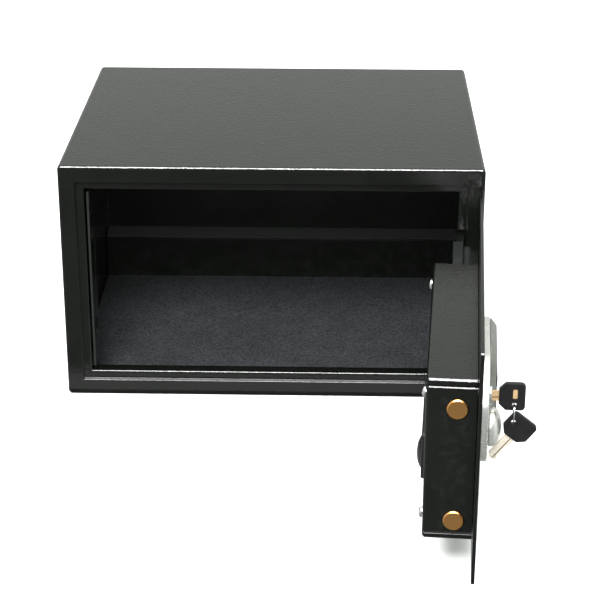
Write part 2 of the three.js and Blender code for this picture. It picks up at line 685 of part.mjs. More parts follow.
place(door, "knob_cap", knobCap(), SILVER);
place(door, "knob_shaft", knobShaft(), STEEL);
place(door, "spindle_bush", spindleBush(), BRASS);

// ---------- emergency lock and keys ----------
const PLUG_R = 6;
const LOCK_FACE = -9;
const LOCK_BACK = 11;

const lockHousing = () =>
  cut(
    rodY(HOUSING_R, CONTROL_X, LOCK_Z, LOCK_FACE, LOCK_BACK),
    rodY(PLUG_R + 0.12, CONTROL_X, LOCK_Z, LOCK_FACE - 1, LOCK_BACK + 1),
  );

function lockPlug() {
  const half = KEY_BLADE_THICK / 2 + GAP;
  const keyway = block(
    CONTROL_X - half,
    CONTROL_X + half,
    LOCK_FACE - 1,
    KEY_EDGE_Y + KEY_BLADE_LENGTH + 0.8,
    LOCK_Z - KEY_BLADE_HEIGHT / 2 - GAP,
    LOCK_Z + KEY_BLADE_HEIGHT / 2 + GAP,
  );
  return cut(rodY(PLUG_R, CONTROL_X, LOCK_Z, LOCK_FACE + 0.3, LOCK_BACK + 0.6), keyway);
}

function lockCam() {
  const front = LOCK_BACK + 0.9;
  const disc = rodY(PLUG_R, CONTROL_X, LOCK_Z, front, front + 2, 20);
  const finger = roundedRect(CONTROL_X - 3, CONTROL_X + 3, LOCK_Z - 2, LOCK_Z + 13, 2);
  return join(disc, upright(finger, front, front + 2, 2));
}

// Turns a slab drawn in (y, z) and extruded along +x, with its first face at x.
const intoKeyFrame = (x) => new THREE.Matrix4().set(0, 0, 1, x, 1, 0, 0, 0, 0, 1, 0, 0, 0, 0, 0, 1);

// A key in its own frame: the blade runs along +y from the bow's edge at y = 0, its holes along x.
function keyBow() {
  const half = KEY_BOW_HEIGHT / 2;
  const back = -KEY_BOW_LENGTH;
  const chamfer = 5.5;
  const r = 3.5;
  const outline = new THREE.Shape();
  outline.moveTo(0, -half + chamfer);
  outline.lineTo(0, half - chamfer);
  outline.lineTo(-chamfer, half);
  outline.lineTo(back + r, half);
  outline.absarc(back + r, half - r, r, Math.PI / 2, Math.PI);
  outline.absarc(back + r, -half + r, r, Math.PI, 1.5 * Math.PI);
  outline.lineTo(-chamfer, -half);
  const slab = new THREE.ExtrudeGeometry(outline, {
    depth: KEY_THICK - 1,
    bevelSize: 0.5,
    bevelOffset: -0.5,
    bevelThickness: 0.5,
    bevelSegments: 1,
    curveSegments: 3,
  });
  slab.applyMatrix4(intoKeyFrame(-KEY_THICK / 2 + 0.5));
  const hole = rodX(KEY_HOLE.r, KEY_HOLE.along, KEY_HOLE.across, -5, 5, 16);
  const side = KEY_BLADE_THICK / 2 + GAP;
  const height = KEY_BLADE_HEIGHT / 2 + GAP;
  return cut(solidOf(slab), hole, block(-side, side, -4, 1, -height, height));
}

function keyBlade() {
  const half = KEY_BLADE_HEIGHT / 2;
  const side = KEY_BLADE_THICK / 2;
  const outline = new THREE.Shape();
  outline.moveTo(-3.6, -half);
  outline.lineTo(KEY_BLADE_LENGTH - 2.5, -half);
  outline.lineTo(KEY_BLADE_LENGTH, -half + 2.5);
  // Cuts along the upper edge.
  const cuts = [0.4, 1.5, 0.8, 1.9, 1.1];
  const cutStep = 3.4;
  cuts.forEach((depth, i) => {
    const end = KEY_BLADE_LENGTH - 0.6 - i * cutStep;
    outline.lineTo(end, half - depth);
    outline.lineTo(end - cutStep * 0.6, half - depth);
  });
  outline.lineTo(KEY_BLADE_LENGTH - 19.5, half);
  outline.lineTo(-3.6, half);
  const slab = new THREE.ExtrudeGeometry(outline, { depth: KEY_BLADE_THICK, bevelEnabled: false });
  slab.applyMatrix4(intoKeyFrame(-side));
  const groove = block(side - 0.5, side + 1, 0.5, KEY_BLADE_LENGTH + 1, -1.6, -0.4);
  return cut(solidOf(slab), groove);
}

place(door, "lock_housing", lockHousing(), CHROME);
place(door, "lock_plug", lockPlug(), BRASS);
place(door, "lock_cam", lockCam(), STEEL);

const keyInLock = new THREE.Group();
keyInLock.position.set(CONTROL_X, KEY_EDGE_Y, LOCK_Z);
door.add(keyInLock);
place(keyInLock, "key_bow", keyBow(), BLACK_PLASTIC);
place(keyInLock, "key_blade", keyBlade(), BRASS);

// The ring hangs in the key's hole and holds the spare at its lowest point.
const holeToRing = 7.75;
const ringY = KEY_EDGE_Y + KEY_HOLE.along;
const ringZ = LOCK_Z + KEY_HOLE.across - holeToRing;
const wire = new THREE.TorusGeometry(RING_R, RING_WIRE, 6, 24);
wire.rotateX(Math.PI / 2);
wire.translate(CONTROL_X, ringY, ringZ);
place(door, "key_ring", solidOf(wire), CHROME);

// The spare is turned half round its own blade, so its hole is on the upper side.
const spareKey = new THREE.Group();
spareKey.position.set(CONTROL_X, ringY, ringZ - holeToRing);
spareKey.rotation.x = SPARE_TILT;
door.add(spareKey);
const spareTurn = new THREE.Group();
spareTurn.rotation.y = Math.PI;
spareTurn.position.set(0, -KEY_HOLE.along, KEY_HOLE.across);
spareKey.add(spareTurn);
place(spareTurn, "spare_key_bow", keyBow(), BLACK_PLASTIC);
place(spareTurn, "spare_key_blade", keyBlade(), BRASS);

export default safe;
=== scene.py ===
"""In-room hotel safe with its door standing open: the looks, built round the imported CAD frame.

Shapes are drawn in millimetres with y measured from the case's front face, and door pieces where they
sit with the door shut. stand_for() turns them into place, in metres, in the frame's own axes.
"""

import json
import math
from types import SimpleNamespace

import bmesh
import bpy
from mathutils import Matrix, Vector, noise

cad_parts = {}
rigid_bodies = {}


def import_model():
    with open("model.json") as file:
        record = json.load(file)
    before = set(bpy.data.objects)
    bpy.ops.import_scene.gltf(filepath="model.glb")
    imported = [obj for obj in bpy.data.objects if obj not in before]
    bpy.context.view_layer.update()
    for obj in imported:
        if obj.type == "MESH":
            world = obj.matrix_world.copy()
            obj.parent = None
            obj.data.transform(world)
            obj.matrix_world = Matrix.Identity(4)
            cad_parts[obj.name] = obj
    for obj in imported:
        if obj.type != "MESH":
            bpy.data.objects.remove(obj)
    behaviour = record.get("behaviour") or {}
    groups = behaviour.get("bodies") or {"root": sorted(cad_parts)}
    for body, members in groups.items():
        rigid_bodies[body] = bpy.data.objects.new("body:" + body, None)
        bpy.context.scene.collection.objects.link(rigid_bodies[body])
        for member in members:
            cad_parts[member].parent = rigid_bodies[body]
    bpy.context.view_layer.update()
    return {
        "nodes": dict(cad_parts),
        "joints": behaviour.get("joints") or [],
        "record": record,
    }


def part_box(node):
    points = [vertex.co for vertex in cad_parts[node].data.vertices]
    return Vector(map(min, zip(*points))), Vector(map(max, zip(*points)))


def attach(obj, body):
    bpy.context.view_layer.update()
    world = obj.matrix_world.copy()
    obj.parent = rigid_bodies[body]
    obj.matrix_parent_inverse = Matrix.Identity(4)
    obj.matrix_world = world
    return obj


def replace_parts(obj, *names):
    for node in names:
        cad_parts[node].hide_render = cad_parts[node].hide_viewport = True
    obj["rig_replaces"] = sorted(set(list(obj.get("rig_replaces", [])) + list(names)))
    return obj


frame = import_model()

# ---------- the frame: bodies, slots and the two coordinate systems ----------
RECORD = frame["record"]
BODY_OF = {node: body for body, nodes in RECORD["behaviour"]["bodies"].items() for node in nodes}
SLOT_OF = {row["node"]: row["material_slot"] for row in RECORD["subparts"]}
HINGE = next(joint for joint in frame["joints"] if joint["name"] == "door_hinge")

MM = 0.001
FRONT_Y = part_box("case_shell")[0].y
PIVOT = Matrix.Translation((HINGE["pos_m"][0], HINGE["pos_m"][1], 0))
OPEN_ANGLE = math.radians(-HINGE["range_deg"][0])
DOOR = PIVOT @ Matrix.Rotation(OPEN_ANGLE, 4, "Z") @ PIVOT.inverted()
FROM_FRONT = Matrix.Translation((0, FRONT_Y, 0)) @ Matrix.Scale(MM, 4)


def to_world(node):
    """Matrix from drawing millimetres to the row frame for that node."""
    return FROM_FRONT if BODY_OF[node] == "case" else DOOR @ FROM_FRONT


def extent(node):
    """A CAD node's box in drawing millimetres."""
    back = to_world(node).inverted()
    corners = [back @ vertex.co for vertex in frame["nodes"][node].data.vertices]
    low = [min(c[i] for c in corners) for i in range(3)]
    high = [max(c[i] for c in corners) for i in range(3)]
    x0, y0, z0 = (round(v, 3) for v in low)
    x1, y1, z1 = (round(v, 3) for v in high)
    middle = {"cx": (x0 + x1) / 2, "cy": (y0 + y1) / 2, "cz": (z0 + z1) / 2}
    return SimpleNamespace(x0=x0, x1=x1, y0=y0, y1=y1, z0=z0, z1=z1, **middle)


# ---------- mesh helpers ----------
WELD = 1e-4
TIP_RADIUS = 0.002
ALONG_X = Matrix.Rotation(-math.pi / 2, 4, "Z")
ALONG_Z = Matrix.Rotation(math.pi / 2, 4, "X")


def mesh_object(name, vertices, faces):
    data = bpy.data.meshes.new(name)
    data.from_pydata([tuple(v) for v in vertices], [], faces)
    shape = bmesh.new()
    shape.from_mesh(data)
    bmesh.ops.remove_doubles(shape, verts=shape.verts, dist=WELD)
    bmesh.ops.dissolve_degenerate(shape, dist=WELD, edges=shape.edges)
    bmesh.ops.recalc_face_normals(shape, faces=shape.faces)
    shape.to_mesh(data)
    shape.free()
    piece = bpy.data.objects.new(name, data)
    bpy.context.scene.collection.objects.link(piece)
    return piece


def loft(name, rings, closed=False, capped=True):
    """Skin over rings of equal length; closed joins the last ring to the first, capped fills both ends."""
    count = len(rings[0])
    vertices = [v for ring in rings for v in ring]
    faces = []
    for k in range(len(rings) if closed else len(rings) - 1):
        a, b = k * count, ((k + 1) % len(rings)) * count
        for i in range(count):
            j = (i + 1) % count
            faces.append((a + i, a + j, b + j, b + i))
    if capped and not closed:
        faces.append(tuple(range(count)))
        last = (len(rings) - 1) * count
        faces.append(tuple(reversed(range(last, last + count))))
    return mesh_object(name, vertices, faces)


def softened(points, steps=4, closed=True):
    """A 2D outline of (u, v, radius) corners with each corner turned into an arc."""
    out = []
    for i, (u, v, radius) in enumerate(points):
        at_end = not closed and i in (0, len(points) - 1)
        if radius <= 0 or at_end:
            out.append((u, v))
            continue
        here = Vector((u, v))
        before = Vector(points[i - 1][:2]) - here
        after = Vector(points[(i + 1) % len(points)][:2]) - here
        half = before.angle(after) / 2
        reach = min(radius / math.tan(half), before.length * 0.49, after.length * 0.49)
        radius = reach * math.tan(half)
        centre = here + (before.normalized() + after.normalized()).normalized() * (radius / math.sin(half))
        start = here + before.normalized() * reach - centre
        finish = here + after.normalized() * reach - centre
        sweep = start.angle_signed(finish)
        for k in range(steps + 1):
            turn = Matrix.Rotation(-sweep * k / steps, 2)
            out.append(tuple(centre + turn @ start))
    return out


def rounded_rect(x0, x1, z0, z1, radius, steps=6):
    radius = max(radius, 0.05)
    return softened([(x0, z0, radius), (x1, z0, radius), (x1, z1, radius), (x0, z1, radius)], steps)


def swept_frame(name, box, profile, corner, least=0.6, steps=6):
    """A closed (inset, y) profile carried round a rectangle."""
    rings = []
    for inset, y in profile:
        sides = (box.x0 + inset, box.x1 - inset, box.z0 + inset, box.z1 - inset)
        outline = rounded_rect(*sides, max(corner - inset, least), steps)
        rings.append([(x, y, z) for x, z in outline])
    return loft(name, rings, closed=True)


def slab(name, outline, profile, centre):
    """An outline in x and z, drawn in towards its centre by each inset of an open (inset, y) profile."""
    cx, cz = centre
    half_x = max(abs(x - cx) for x, _ in outline)
    half_z = max(abs(z - cz) for _, z in outline)
    rings = []
    for inset, y in profile:
        fx, fz = (half_x - inset) / half_x, (half_z - inset) / half_z
        rings.append([(cx + (x - cx) * fx, y, cz + (z - cz) * fz) for x, z in outline])
    return loft(name, rings)


def turned(name, profile, x, z, segments=48, closed=False):
    """A (radius, y) profile turned about an axis along y; closed joins its last point to its first."""
    around = [2 * math.pi * k / segments for k in range(segments)]
    rings = []
    for radius, y in profile:
        radius = max(radius, TIP_RADIUS)
        rings.append([(x + radius * math.cos(a), y, z + radius * math.sin(a)) for a in around])
    return loft(name, rings, closed)


def extruded(name, outline, x0, x1):
    """A closed (y, z) outline carried from x0 to x1."""
    return loft(name, [[(x, y, z) for y, z in outline] for x in (x0, x1)])


def block(name, x0, x1, y0, y1, z0, z1):
    return extruded(name, [(y0, z0), (y1, z0), (y1, z1), (y0, z1)], x0, x1)


def rod(name, radius, x, z, y0, y1, segments=40):
    return turned(name, [(radius, y0), (radius, y1)], x, z, segments)


def placed(piece, centre, turn):
    """Turns a mesh about the origin, then moves it to its centre."""
    piece.data.transform(Matrix.Translation(centre) @ turn)
    return piece


def apply_modifiers(piece):
    graph = bpy.context.evaluated_depsgraph_get()
    data = bpy.data.meshes.new_from_object(piece.evaluated_get(graph))
    piece.modifiers.clear()
    piece.data = data
    return piece


def carve(piece, *tools, operation="DIFFERENCE"):
    for tool in tools:
        cut = piece.modifiers.new("cut", "BOOLEAN")
        cut.operation = operation
        cut.solver = "EXACT"
        cut.object = tool
    apply_modifiers(piece)
    for tool in tools:
        bpy.data.objects.remove(tool)
    return piece


def bevel(piece, width, segments=2, angle=35):
    rounding = piece.modifiers.new("rounding", "BEVEL")
    rounding.width = width
    rounding.segments = segments
    rounding.limit_method = "ANGLE"
    rounding.angle_limit = math.radians(angle)
    rounding.use_clamp_overlap = True
    return piece


def joined(name, *pieces):
    """One object that holds several meshes, each with its own single material."""
    whole = bmesh.new()
    for number, piece in enumerate(pieces):
        first = len(whole.faces)
        whole.from_mesh(piece.data)
        whole.faces.ensure_lookup_table()
        for face in whole.faces[first:]:
            face.material_index = number
    data = bpy.data.meshes.new(name)
    whole.to_mesh(data)
    whole.free()
    for piece in pieces:
        data.materials.append(piece.data.materials[0])
        bpy.data.objects.remove(piece)
    made = bpy.data.objects.new(name, data)
    bpy.context.scene.collection.objects.link(made)
    return made


def painted(piece, material):
    piece.data.materials.clear()
    piece.data.materials.append(material)
    return piece


def stand_for(piece, node, material=None, smooth=38):
    """Puts a finished shape in its place as the looks of a CAD node."""
    if piece.modifiers:
        apply_modifiers(piece)
    if material:
        painted(piece, material)
    piece.data.transform(to_world(node))
    piece.data.shade_smooth()
    piece.data.set_sharp_from_angle(angle=math.radians(smooth))
    # wide flat faces keep their own direction right up to the eased edges
    evened = piece.modifiers.new("even_shading", "WEIGHTED_NORMAL")
    evened.keep_sharp = True
    piece.name = node + "_detailed"
    piece.data.name = piece.name
    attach(piece, BODY_OF[node])
    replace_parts(piece, node)
    return piece


# ---------- materials ----------
MIX_A, MIX_B, MIX_RESULT = 6, 7, 2  # the colour sockets of a Mix node, by number because names repeat


def colour_ramp(tree, source, stops, easing="LINEAR"):
    """A ramp of (place, grey or colour) stops."""
    node = tree.nodes.new("ShaderNodeValToRGB")
    node.color_ramp.interpolation = easing
    elements = node.color_ramp.elements
    while len(elements) < len(stops):
        elements.new(0.5)
    for element, (place, value) in zip(elements, stops):
        element.position = place
        element.color = (*value, 1) if isinstance(value, tuple) else (value, value, value, 1)
    tree.links.new(source, node.inputs["Fac"])
    return node.outputs["Color"]


def multiplied(tree, a, b):
    """The product of two colours."""
    node = tree.nodes.new("ShaderNodeMix")
    node.data_type = "RGBA"
    node.blend_type = "MULTIPLY"
    node.inputs["Factor"].default_value = 1.0
    tree.links.new(a, node.inputs[MIX_A])
    tree.links.new(b, node.inputs[MIX_B])
    return node.outputs[MIX_RESULT]


class Surface:
    """A Principled material whose colour, roughness and bump come from procedural nodes in object space."""

    def __init__(self, name, metallic=0.0, turn=(0, 0, 0), stretch=(1, 1, 1), **settings):
        self.material = bpy.data.materials.new(name)
        self.material.use_nodes = True
        self.tree = self.material.node_tree
        self.shader = self.tree.nodes["Principled BSDF"]
        self.shader.inputs["Metallic"].default_value = metallic
        for key, value in settings.items():
            self.shader.inputs[key.replace("_", " ")].default_value = value
        place = self.tree.nodes.new("ShaderNodeTexCoord")
        mapping = self.tree.nodes.new("ShaderNodeMapping")
        mapping.inputs["Rotation"].default_value = turn
        mapping.inputs["Scale"].default_value = stretch
        self.tree.links.new(place.outputs["Object"], mapping.inputs["Vector"])
        self.vector = mapping.outputs["Vector"]
        self.height = None

    def noise(self, scale, detail=3.0, rough=0.55):
        node = self.tree.nodes.new("ShaderNodeTexNoise")
        node.inputs["Scale"].default_value = scale
        node.inputs["Detail"].default_value = detail
        node.inputs["Roughness"].default_value = rough
        self.tree.links.new(self.vector, node.inputs["Vector"])
        return node.outputs["Fac"]

    def cells(self, scale):
        node = self.tree.nodes.new("ShaderNodeTexVoronoi")
        node.feature = "SMOOTH_F1"
        node.inputs["Scale"].default_value = scale
        self.tree.links.new(self.vector, node.inputs["Vector"])
        return node.outputs["Distance"]

    def ramp(self, source, *stops):
        return colour_ramp(self.tree, source, stops)

    def math(self, operation, a, b):
        node = self.tree.nodes.new("ShaderNodeMath")
        node.operation = operation
        for socket, value in zip(node.inputs, (a, b)):
            if isinstance(value, (int, float)):
                socket.default_value = value
            else:
                self.tree.links.new(value, socket)
        return node.outputs["Value"]

    def mixed(self, share, a, b):
        node = self.tree.nodes.new("ShaderNodeMix")
        node.data_type = "RGBA"
        self.tree.links.new(share, node.inputs["Factor"])
        for socket, value in ((node.inputs[MIX_A], a), (node.inputs[MIX_B], b)):
            if isinstance(value, tuple):
                socket.default_value = (*value, 1)
            else:
                self.tree.links.new(value, socket)
        return node.outputs[MIX_RESULT]

    def colour(self, source):
        self.tree.links.new(source, self.shader.inputs["Base Color"])
        return self

    def roughness(self, source):
        self.tree.links.new(source, self.shader.inputs["Roughness"])
        return self

    def bump(self, height, distance, strength=1.0):
        node = self.tree.nodes.new("ShaderNodeBump")
        node.inputs["Strength"].default_value = strength
        node.inputs["Distance"].default_value = distance
        self.tree.links.new(height, node.inputs["Height"])
        if self.height:
            self.tree.links.new(self.height, node.inputs["Normal"])
        self.height = node.outputs["Normal"]
        self.tree.links.new(self.height, self.shader.inputs["Normal"])
        return self

    def top_light_mask(self, patches):
        """How much a surface faces up, broken up by patches; the mask for painted light from above."""
        node = self.tree.nodes.new("ShaderNodeNewGeometry")
        split = self.tree.nodes.new("ShaderNodeSeparateXYZ")
        self.tree.links.new(node.outputs["Normal"], split.inputs["Vector"])
        level = self.ramp(split.outputs["Z"], (0.75, 0.0), (0.97, 1.0))
        return self.math("MULTIPLY", level, self.ramp(patches, (0.25, 0.4), (0.7, 1.0)))

    def edge_wear(self, colour, worn):
        """Mixes in a worn colour where the surface turns outwards."""
        unworn, fully_worn, patchiness = 0.56, 0.66, 0.12
        node = self.tree.nodes.new("ShaderNodeNewGeometry")
        patchy = self.math("MULTIPLY", self.noise(140, 4), patchiness)
        share = self.math("SUBTRACT", node.outputs["Pointiness"], patchy)
        half = patchiness / 2
        wear = self.ramp(share, (unworn - half, 0.0), (fully_worn - half, 1.0))
        return self.mixed(wear, colour, worn)


PAINT_DARK, PAINT_LIGHT = (0.0023, 0.0028, 0.0023), (0.0035, 0.0041, 0.0034)
PAINT_WORN = (0.012, 0.013, 0.012)


def powder_coat(name, top_light=None, dark=PAINT_DARK, light=PAINT_LIGHT, **settings):
    """Black paint with an orange-peel skin; with a top-light colour given, faces that face up are painted
    lighter in patches, as painted light from above.
    """
    s = Surface(name, IOR=1.33, **settings)
    mottled = s.ramp(s.noise(26, 5, 0.6), (0.3, dark), (0.7, light))
    worn = s.edge_wear(mottled, PAINT_WORN)
    if top_light:
        # faces that face up are painted lighter here, as painted light from above
        worn = s.mixed(s.top_light_mask(s.noise(300, 4)), worn, top_light)
    s.colour(worn)
    s.roughness(s.ramp(s.noise(60, 3), (0.3, 0.13), (0.7, 0.18)))
    s.bump(s.noise(340, 2, 0.5), 0.00028)
    s.bump(s.cells(620), 0.00013)
    return s.material


def felt():
    """Blue-grey fibres, cloudy at a wide scale and broken up at a fine one."""
    s = Surface("needle_felt", Sheen_Weight=0.06, Sheen_Roughness=0.5, Specular_IOR_Level=0.1)
    dark, light = (0.0175, 0.0192, 0.0215), (0.0245, 0.0265, 0.0295)
    clouds = s.ramp(s.noise(34, 5, 0.6), (0.35, dark), (0.65, light))
    fibres = s.ramp(s.noise(520, 3, 0.6), (0.36, 0.25), (0.64, 1.85))
    s.colour(multiplied(s.tree, clouds, fibres))
    s.roughness(s.ramp(s.noise(600), (0.3, 0.86), (0.7, 1.0)))
    s.bump(s.noise(900, 5, 0.75), 0.0006, 0.8)
    s.bump(s.noise(260, 3), 0.0006, 0.5)
    return s.material


def metal(name, low, high, rough, grain=(1, 1, 1), depth=0.00001, scale=900, metallic=1.0, **settings):
    """Brushed or plated metal: a wide, slow change of roughness, and a fine bump where depth is given."""
    s = Surface(name, metallic=metallic, stretch=grain, turn=(0, 0, -OPEN_ANGLE), **settings)
    s.colour(s.ramp(s.noise(scale, 4), (0.2, low), (0.8, high)))
    s.roughness(s.ramp(s.noise(scale * 0.05, 4), (0.2, rough[0]), (0.8, rough[1])))
    if depth:
        s.bump(s.noise(scale * 1.4, 3), depth)
    return s.material


def plastic(name, low, high, rough, depth=0.00002, scale=500, **settings):
    s = Surface(name, **settings)
    s.colour(s.ramp(s.noise(90, 4), (0.3, low), (0.7, high)))
    s.roughness(s.ramp(s.noise(scale, 3), (0.3, rough[0]), (0.7, rough[1])))
    s.bump(s.noise(scale * 2.4, 3), depth)
    return s.material


PAINT = powder_coat("powder_coat")
# rear channel paint: its up-facing faces are painted lighter, as painted light from above
TOP_LIT_PAINT = powder_coat("dusty_powder_coat", (0.030, 0.032, 0.030))
INNER_PAINT = powder_coat("inner_powder_coat", Specular_IOR_Level=0.15)
# hinge arms' block and roll: the same black paint made lighter, as painted light on them
ARM_PAINTED_LIT = powder_coat("arm_powder_coat", None, (0.0105, 0.0115, 0.0113), (0.0135, 0.0146, 0.0144))
FELT = felt()
ZINC = metal("zinc_plate", (0.42, 0.43, 0.43), (0.6, 0.61, 0.6), (0.28, 0.42), (1, 1, 6))
CHROME = metal("bright_chrome", (0.78, 0.79, 0.8), (0.86, 0.87, 0.87), (0.06, 0.12), depth=0.000004)
BOLT_BRASS = metal(
    "bolt_brass",
    (0.82, 0.40, 0.115),
    (0.95, 0.47, 0.14),
    (0.24, 0.32),
    depth=0.000003,
    Coat_Weight=0.8,
    Coat_Roughness=0.1,
)
CAST = {"depth": 0, "metallic": 0.5}
KEY_BRASS = metal("key_brass", (0.60, 0.40, 0.21), (0.70, 0.49, 0.28), (0.24, 0.34), (1, 6, 1), **CAST)
# spare key's brass, painted paler as a painted reflection of the pale surroundings
REFLECTION_PALE_BRASS = metal("pale_brass", (0.74, 0.66, 0.55), (0.84, 0.77, 0.67), (0.22, 0.32), (1, 6, 1), **CAST)
SILVER = metal(
    "silver_lacquer", (0.68, 0.69, 0.655), (0.75, 0.76, 0.725), (0.24, 0.30), depth=0, metallic=0.82
)
SMOKE = plastic(
    "smoke_plastic",
    (0.10, 0.108, 0.092),
    (0.125, 0.133, 0.115),
    (0.3, 0.4),
    Coat_Weight=0.3,
    Coat_Roughness=0.1,
)
BLACK = plastic("black_plastic", (0.007, 0.007, 0.0075), (0.011, 0.011, 0.0115), (0.3, 0.42), IOR=1.3)
RUBBER = plastic("black_rubber", (0.012, 0.012, 0.012), (0.02, 0.02, 0.02), (0.7, 0.85), 0.00006)
DISPLAY = plastic(
    "display_window", (0.012, 0.02, 0.016), (0.016, 0.026, 0.02), (0.04, 0.08), 0.000002, Coat_Weight=0.6
)
# floor of the key blade's grooves, painted dark as painted shade
GROOVE_SHADE = plastic("groove_grime", (0.10, 0.075, 0.05), (0.14, 0.105, 0.07), (0.5, 0.6))
MARKS = plastic("white_marks", (0.62, 0.63, 0.6), (0.7, 0.7, 0.68), (0.45, 0.55))
SLEEVE = plastic("cell_sleeve", (0.02, 0.022, 0.03), (0.03, 0.034, 0.045), (0.25, 0.34))
BOARD = plastic("solder_mask", (0.012, 0.09, 0.035), (0.02, 0.12, 0.05), (0.3, 0.42), 0.00003)
KEPT = {
    "steel": ZINC,
    "black_paint": PAINT,
    "black_plastic": BLACK,
    "brass": BOLT_BRASS,
    "circuit_board": BOARD,
}

# ---------- case ----------
SHEET = 2.0
BORDER = 16.0
RECESS = 4.2
LEDGE = 8.0
PLUG_HOLE_R = 6.0
NOTCH_BOTTOM, NOTCH_TOP = 57.0, 175.0
STOP_SPAN = (-5, 30)  # in y, past both faces of the folded frame
BOLT_HOLE_GAP = 1.0
case = extent("case_shell")


def case_shell():
    depth = case.y1
    profile = [
        (0, 0, 3.0),
        (0, depth, 0.7),
        (SHEET, depth, 0.7),
        (SHEET, SHEET, 1.0),
        (BORDER, SHEET, 0.2),
        (BORDER, 0, 1.7),
    ]
    return swept_frame("case", case, softened(profile, 6), corner=4.0, least=1.0, steps=8)


def back_panel():
    panel = extent("back_panel")
    spread, ease, lip = 0.28, 0.4, 0.5
    edge = [(lip, panel.y0, 0), (0, panel.y0, ease), (0, panel.y1, ease), (lip, panel.y1, 0)]
    outline = rounded_rect(panel.x0 - spread, panel.x1 + spread, panel.z0 - spread, panel.z1 + spread, 2.0)
    whole = slab("back", outline, softened(edge, 2, closed=False), (panel.cx, panel.cz))
    holes = []
    for side in ("left", "right"):
        plug = extent("anchor_plug_" + side)
        holes.append(rod("hole", PLUG_HOLE_R, plug.cx, plug.cz, panel.y0 - 1, panel.y1 + 1))
    return bevel(carve(whole, *holes), 0.3)


def anchor_plug(side):
    """Domed head inside, a shallow dish with a rim on the end that shows at the back."""
    plug = extent("anchor_plug_" + side)
    head = (plug.x1 - plug.x0) / 2
    stem = 5.7
    profile = softened(
        [
            (0, plug.y0, 0),
            (head - 2, plug.y0, 1.5),
            (head, plug.y0 + 1.4, 0.6),
            (head, plug.y0 + 2, 0.2),
            (stem, plug.y0 + 2, 0.2),
            (stem, plug.y1, 0.5),
            (stem - 1.6, plug.y1, 0.4),
            (stem - 2.2, plug.y1 - 0.8, 0.4),
            (0, plug.y1 - 0.8, 0),
        ],
        4,
        closed=False,
    )
    return turned("plug", profile, plug.cx, plug.cz)


def stop_frame():
    """Folded frame behind the border: recess wall, ledge with a rounded fold, and the return."""
    stop = extent("door_stop")
    outer = BORDER - 2
    inner = BORDER + LEDGE
    fold = 1.5
    profile = [
        (outer, stop.y0, 0.2),
        (BORDER, stop.y0, 0.4),
        (BORDER, RECESS, 0.5),
        (inner, RECESS, 1.9),
        (inner, stop.y1, 0.5),
        (inner - fold, stop.y1, 0.5),
        (inner - fold, RECESS + fold, 0.3),
        (outer, RECESS + fold, 0.2),
    ]
    return swept_frame("stop", case, softened(profile, 4), corner=2.0, least=0.8, steps=4)


def bolt_tools(x0, x1, clearance):
    """Rods along x at both bolts, to cut their holes."""
    tools = []
    for name in ("bolt_upper", "bolt_lower"):
        part = extent(name)
        radius = (part.z1 - part.z0) / 2 + clearance
        tool = turned("tool", [(radius, x0), (radius, x1)], 0, 0)
        tools.append(placed(tool, (0, part.cy, part.cz), ALONG_X))
    return tools


def door_stop():
    """The folded frame with a notch for the hinge arms and a hole for each bolt."""
    hinge_side, stop = extent("hinge_side_stop"), extent("door_stop")
    gap = block("gap", hinge_side.x0 - 1, case.x1, *STOP_SPAN, NOTCH_BOTTOM, NOTCH_TOP)
    return carve(stop_frame(), gap, *bolt_tools(stop.x0 - 5, stop.x0 + 12, BOLT_HOLE_GAP))


def hinge_side_stop():
    """The length of the folded frame between the two hinge arms."""
    part = extent("hinge_side_stop")
    keep = block("keep", part.x0 - 2, case.x1, *STOP_SPAN, part.z0, part.z1)
    return carve(stop_frame(), keep, operation="INTERSECT")


def strike_plate():
    """Folded strip behind the frame, with a hole for each bolt."""
    part = extent("strike_plate")
    sheet = 2
    fold = [
        (part.x0, part.y1 - sheet, 0),
        (part.x1 - sheet, part.y1 - sheet, 0.8),
        (part.x1 - sheet, part.y0, 0),
        (part.x1, part.y0, 0),
        (part.x1, part.y1, 2.2),
        (part.x0, part.y1, 0),
    ]
    outline = softened(fold, 5)
    strip = loft("strike", [[(x, y, z) for x, y in outline] for z in (part.z0, part.z1)])
    return carve(strip, *bolt_tools(part.x1 - 10, part.x1 + 10, BOLT_HOLE_GAP))


def rear_channel():
    part = extent("rear_channel")
    sheet = 1.5
    fold = [
        (part.y0, part.z0, 0),
        (part.y0 + sheet, part.z0, 0),
        (part.y0 + sheet, part.z1 - sheet, 1.0),
        (part.y1, part.z1 - sheet, 0),
        (part.y1, part.z1, 0),
        (part.y0, part.z1, 2.4),
    ]
    return bevel(extruded("channel", softened(fold, 6), part.x0, part.x1), 0.25, 2, 60)


def floor_mat():
    """Felt sheet: a grid that lies in gentle swells, with a soft cut edge."""
    part = extent("floor_mat")
    columns, rows = 196, 145
    inset, edge_drop, top = 1.2, 1.3, part.z1 - 0.75
    wide, fine = 38, 3.1
    vertices, faces = [], []
    for j in range(rows + 1):
        for i in range(columns + 1):
            x = part.x0 + (part.x1 - part.x0) * i / columns
            y = part.y0 + (part.y1 - part.y0) * j / rows
            edge = min(i, j, columns - i, rows - j) / 2
            swell = 0.35 * noise.noise((x / wide, y / wide, 0.3))
            swell += 0.3 * noise.noise((x / fine, y / fine, 4.1))
            drop = edge_drop * max(0, 1 - edge) ** 2
            vertices.append((x, y, top + swell - drop))
    for j in range(rows):
        for i in range(columns):
            a = j * (columns + 1) + i
            faces.append((a, a + 1, a + columns + 2, a + columns + 1))
    rim = [j * (columns + 1) + i for j, i in edge_walk(columns, rows)]
    base = len(vertices)
    for index in rim:
        x, y, _ = vertices[index]
        pull = Vector((part.cx - x, part.cy - y)).normalized() * inset
        vertices.append((x + pull.x, y + pull.y, part.z0))
    count = len(rim)
    for k in range(count):
        faces.append((rim[k], base + k, base + (k + 1) % count, rim[(k + 1) % count]))
    faces.append(tuple(range(base, base + count)))
    return mesh_object("mat", vertices, faces)


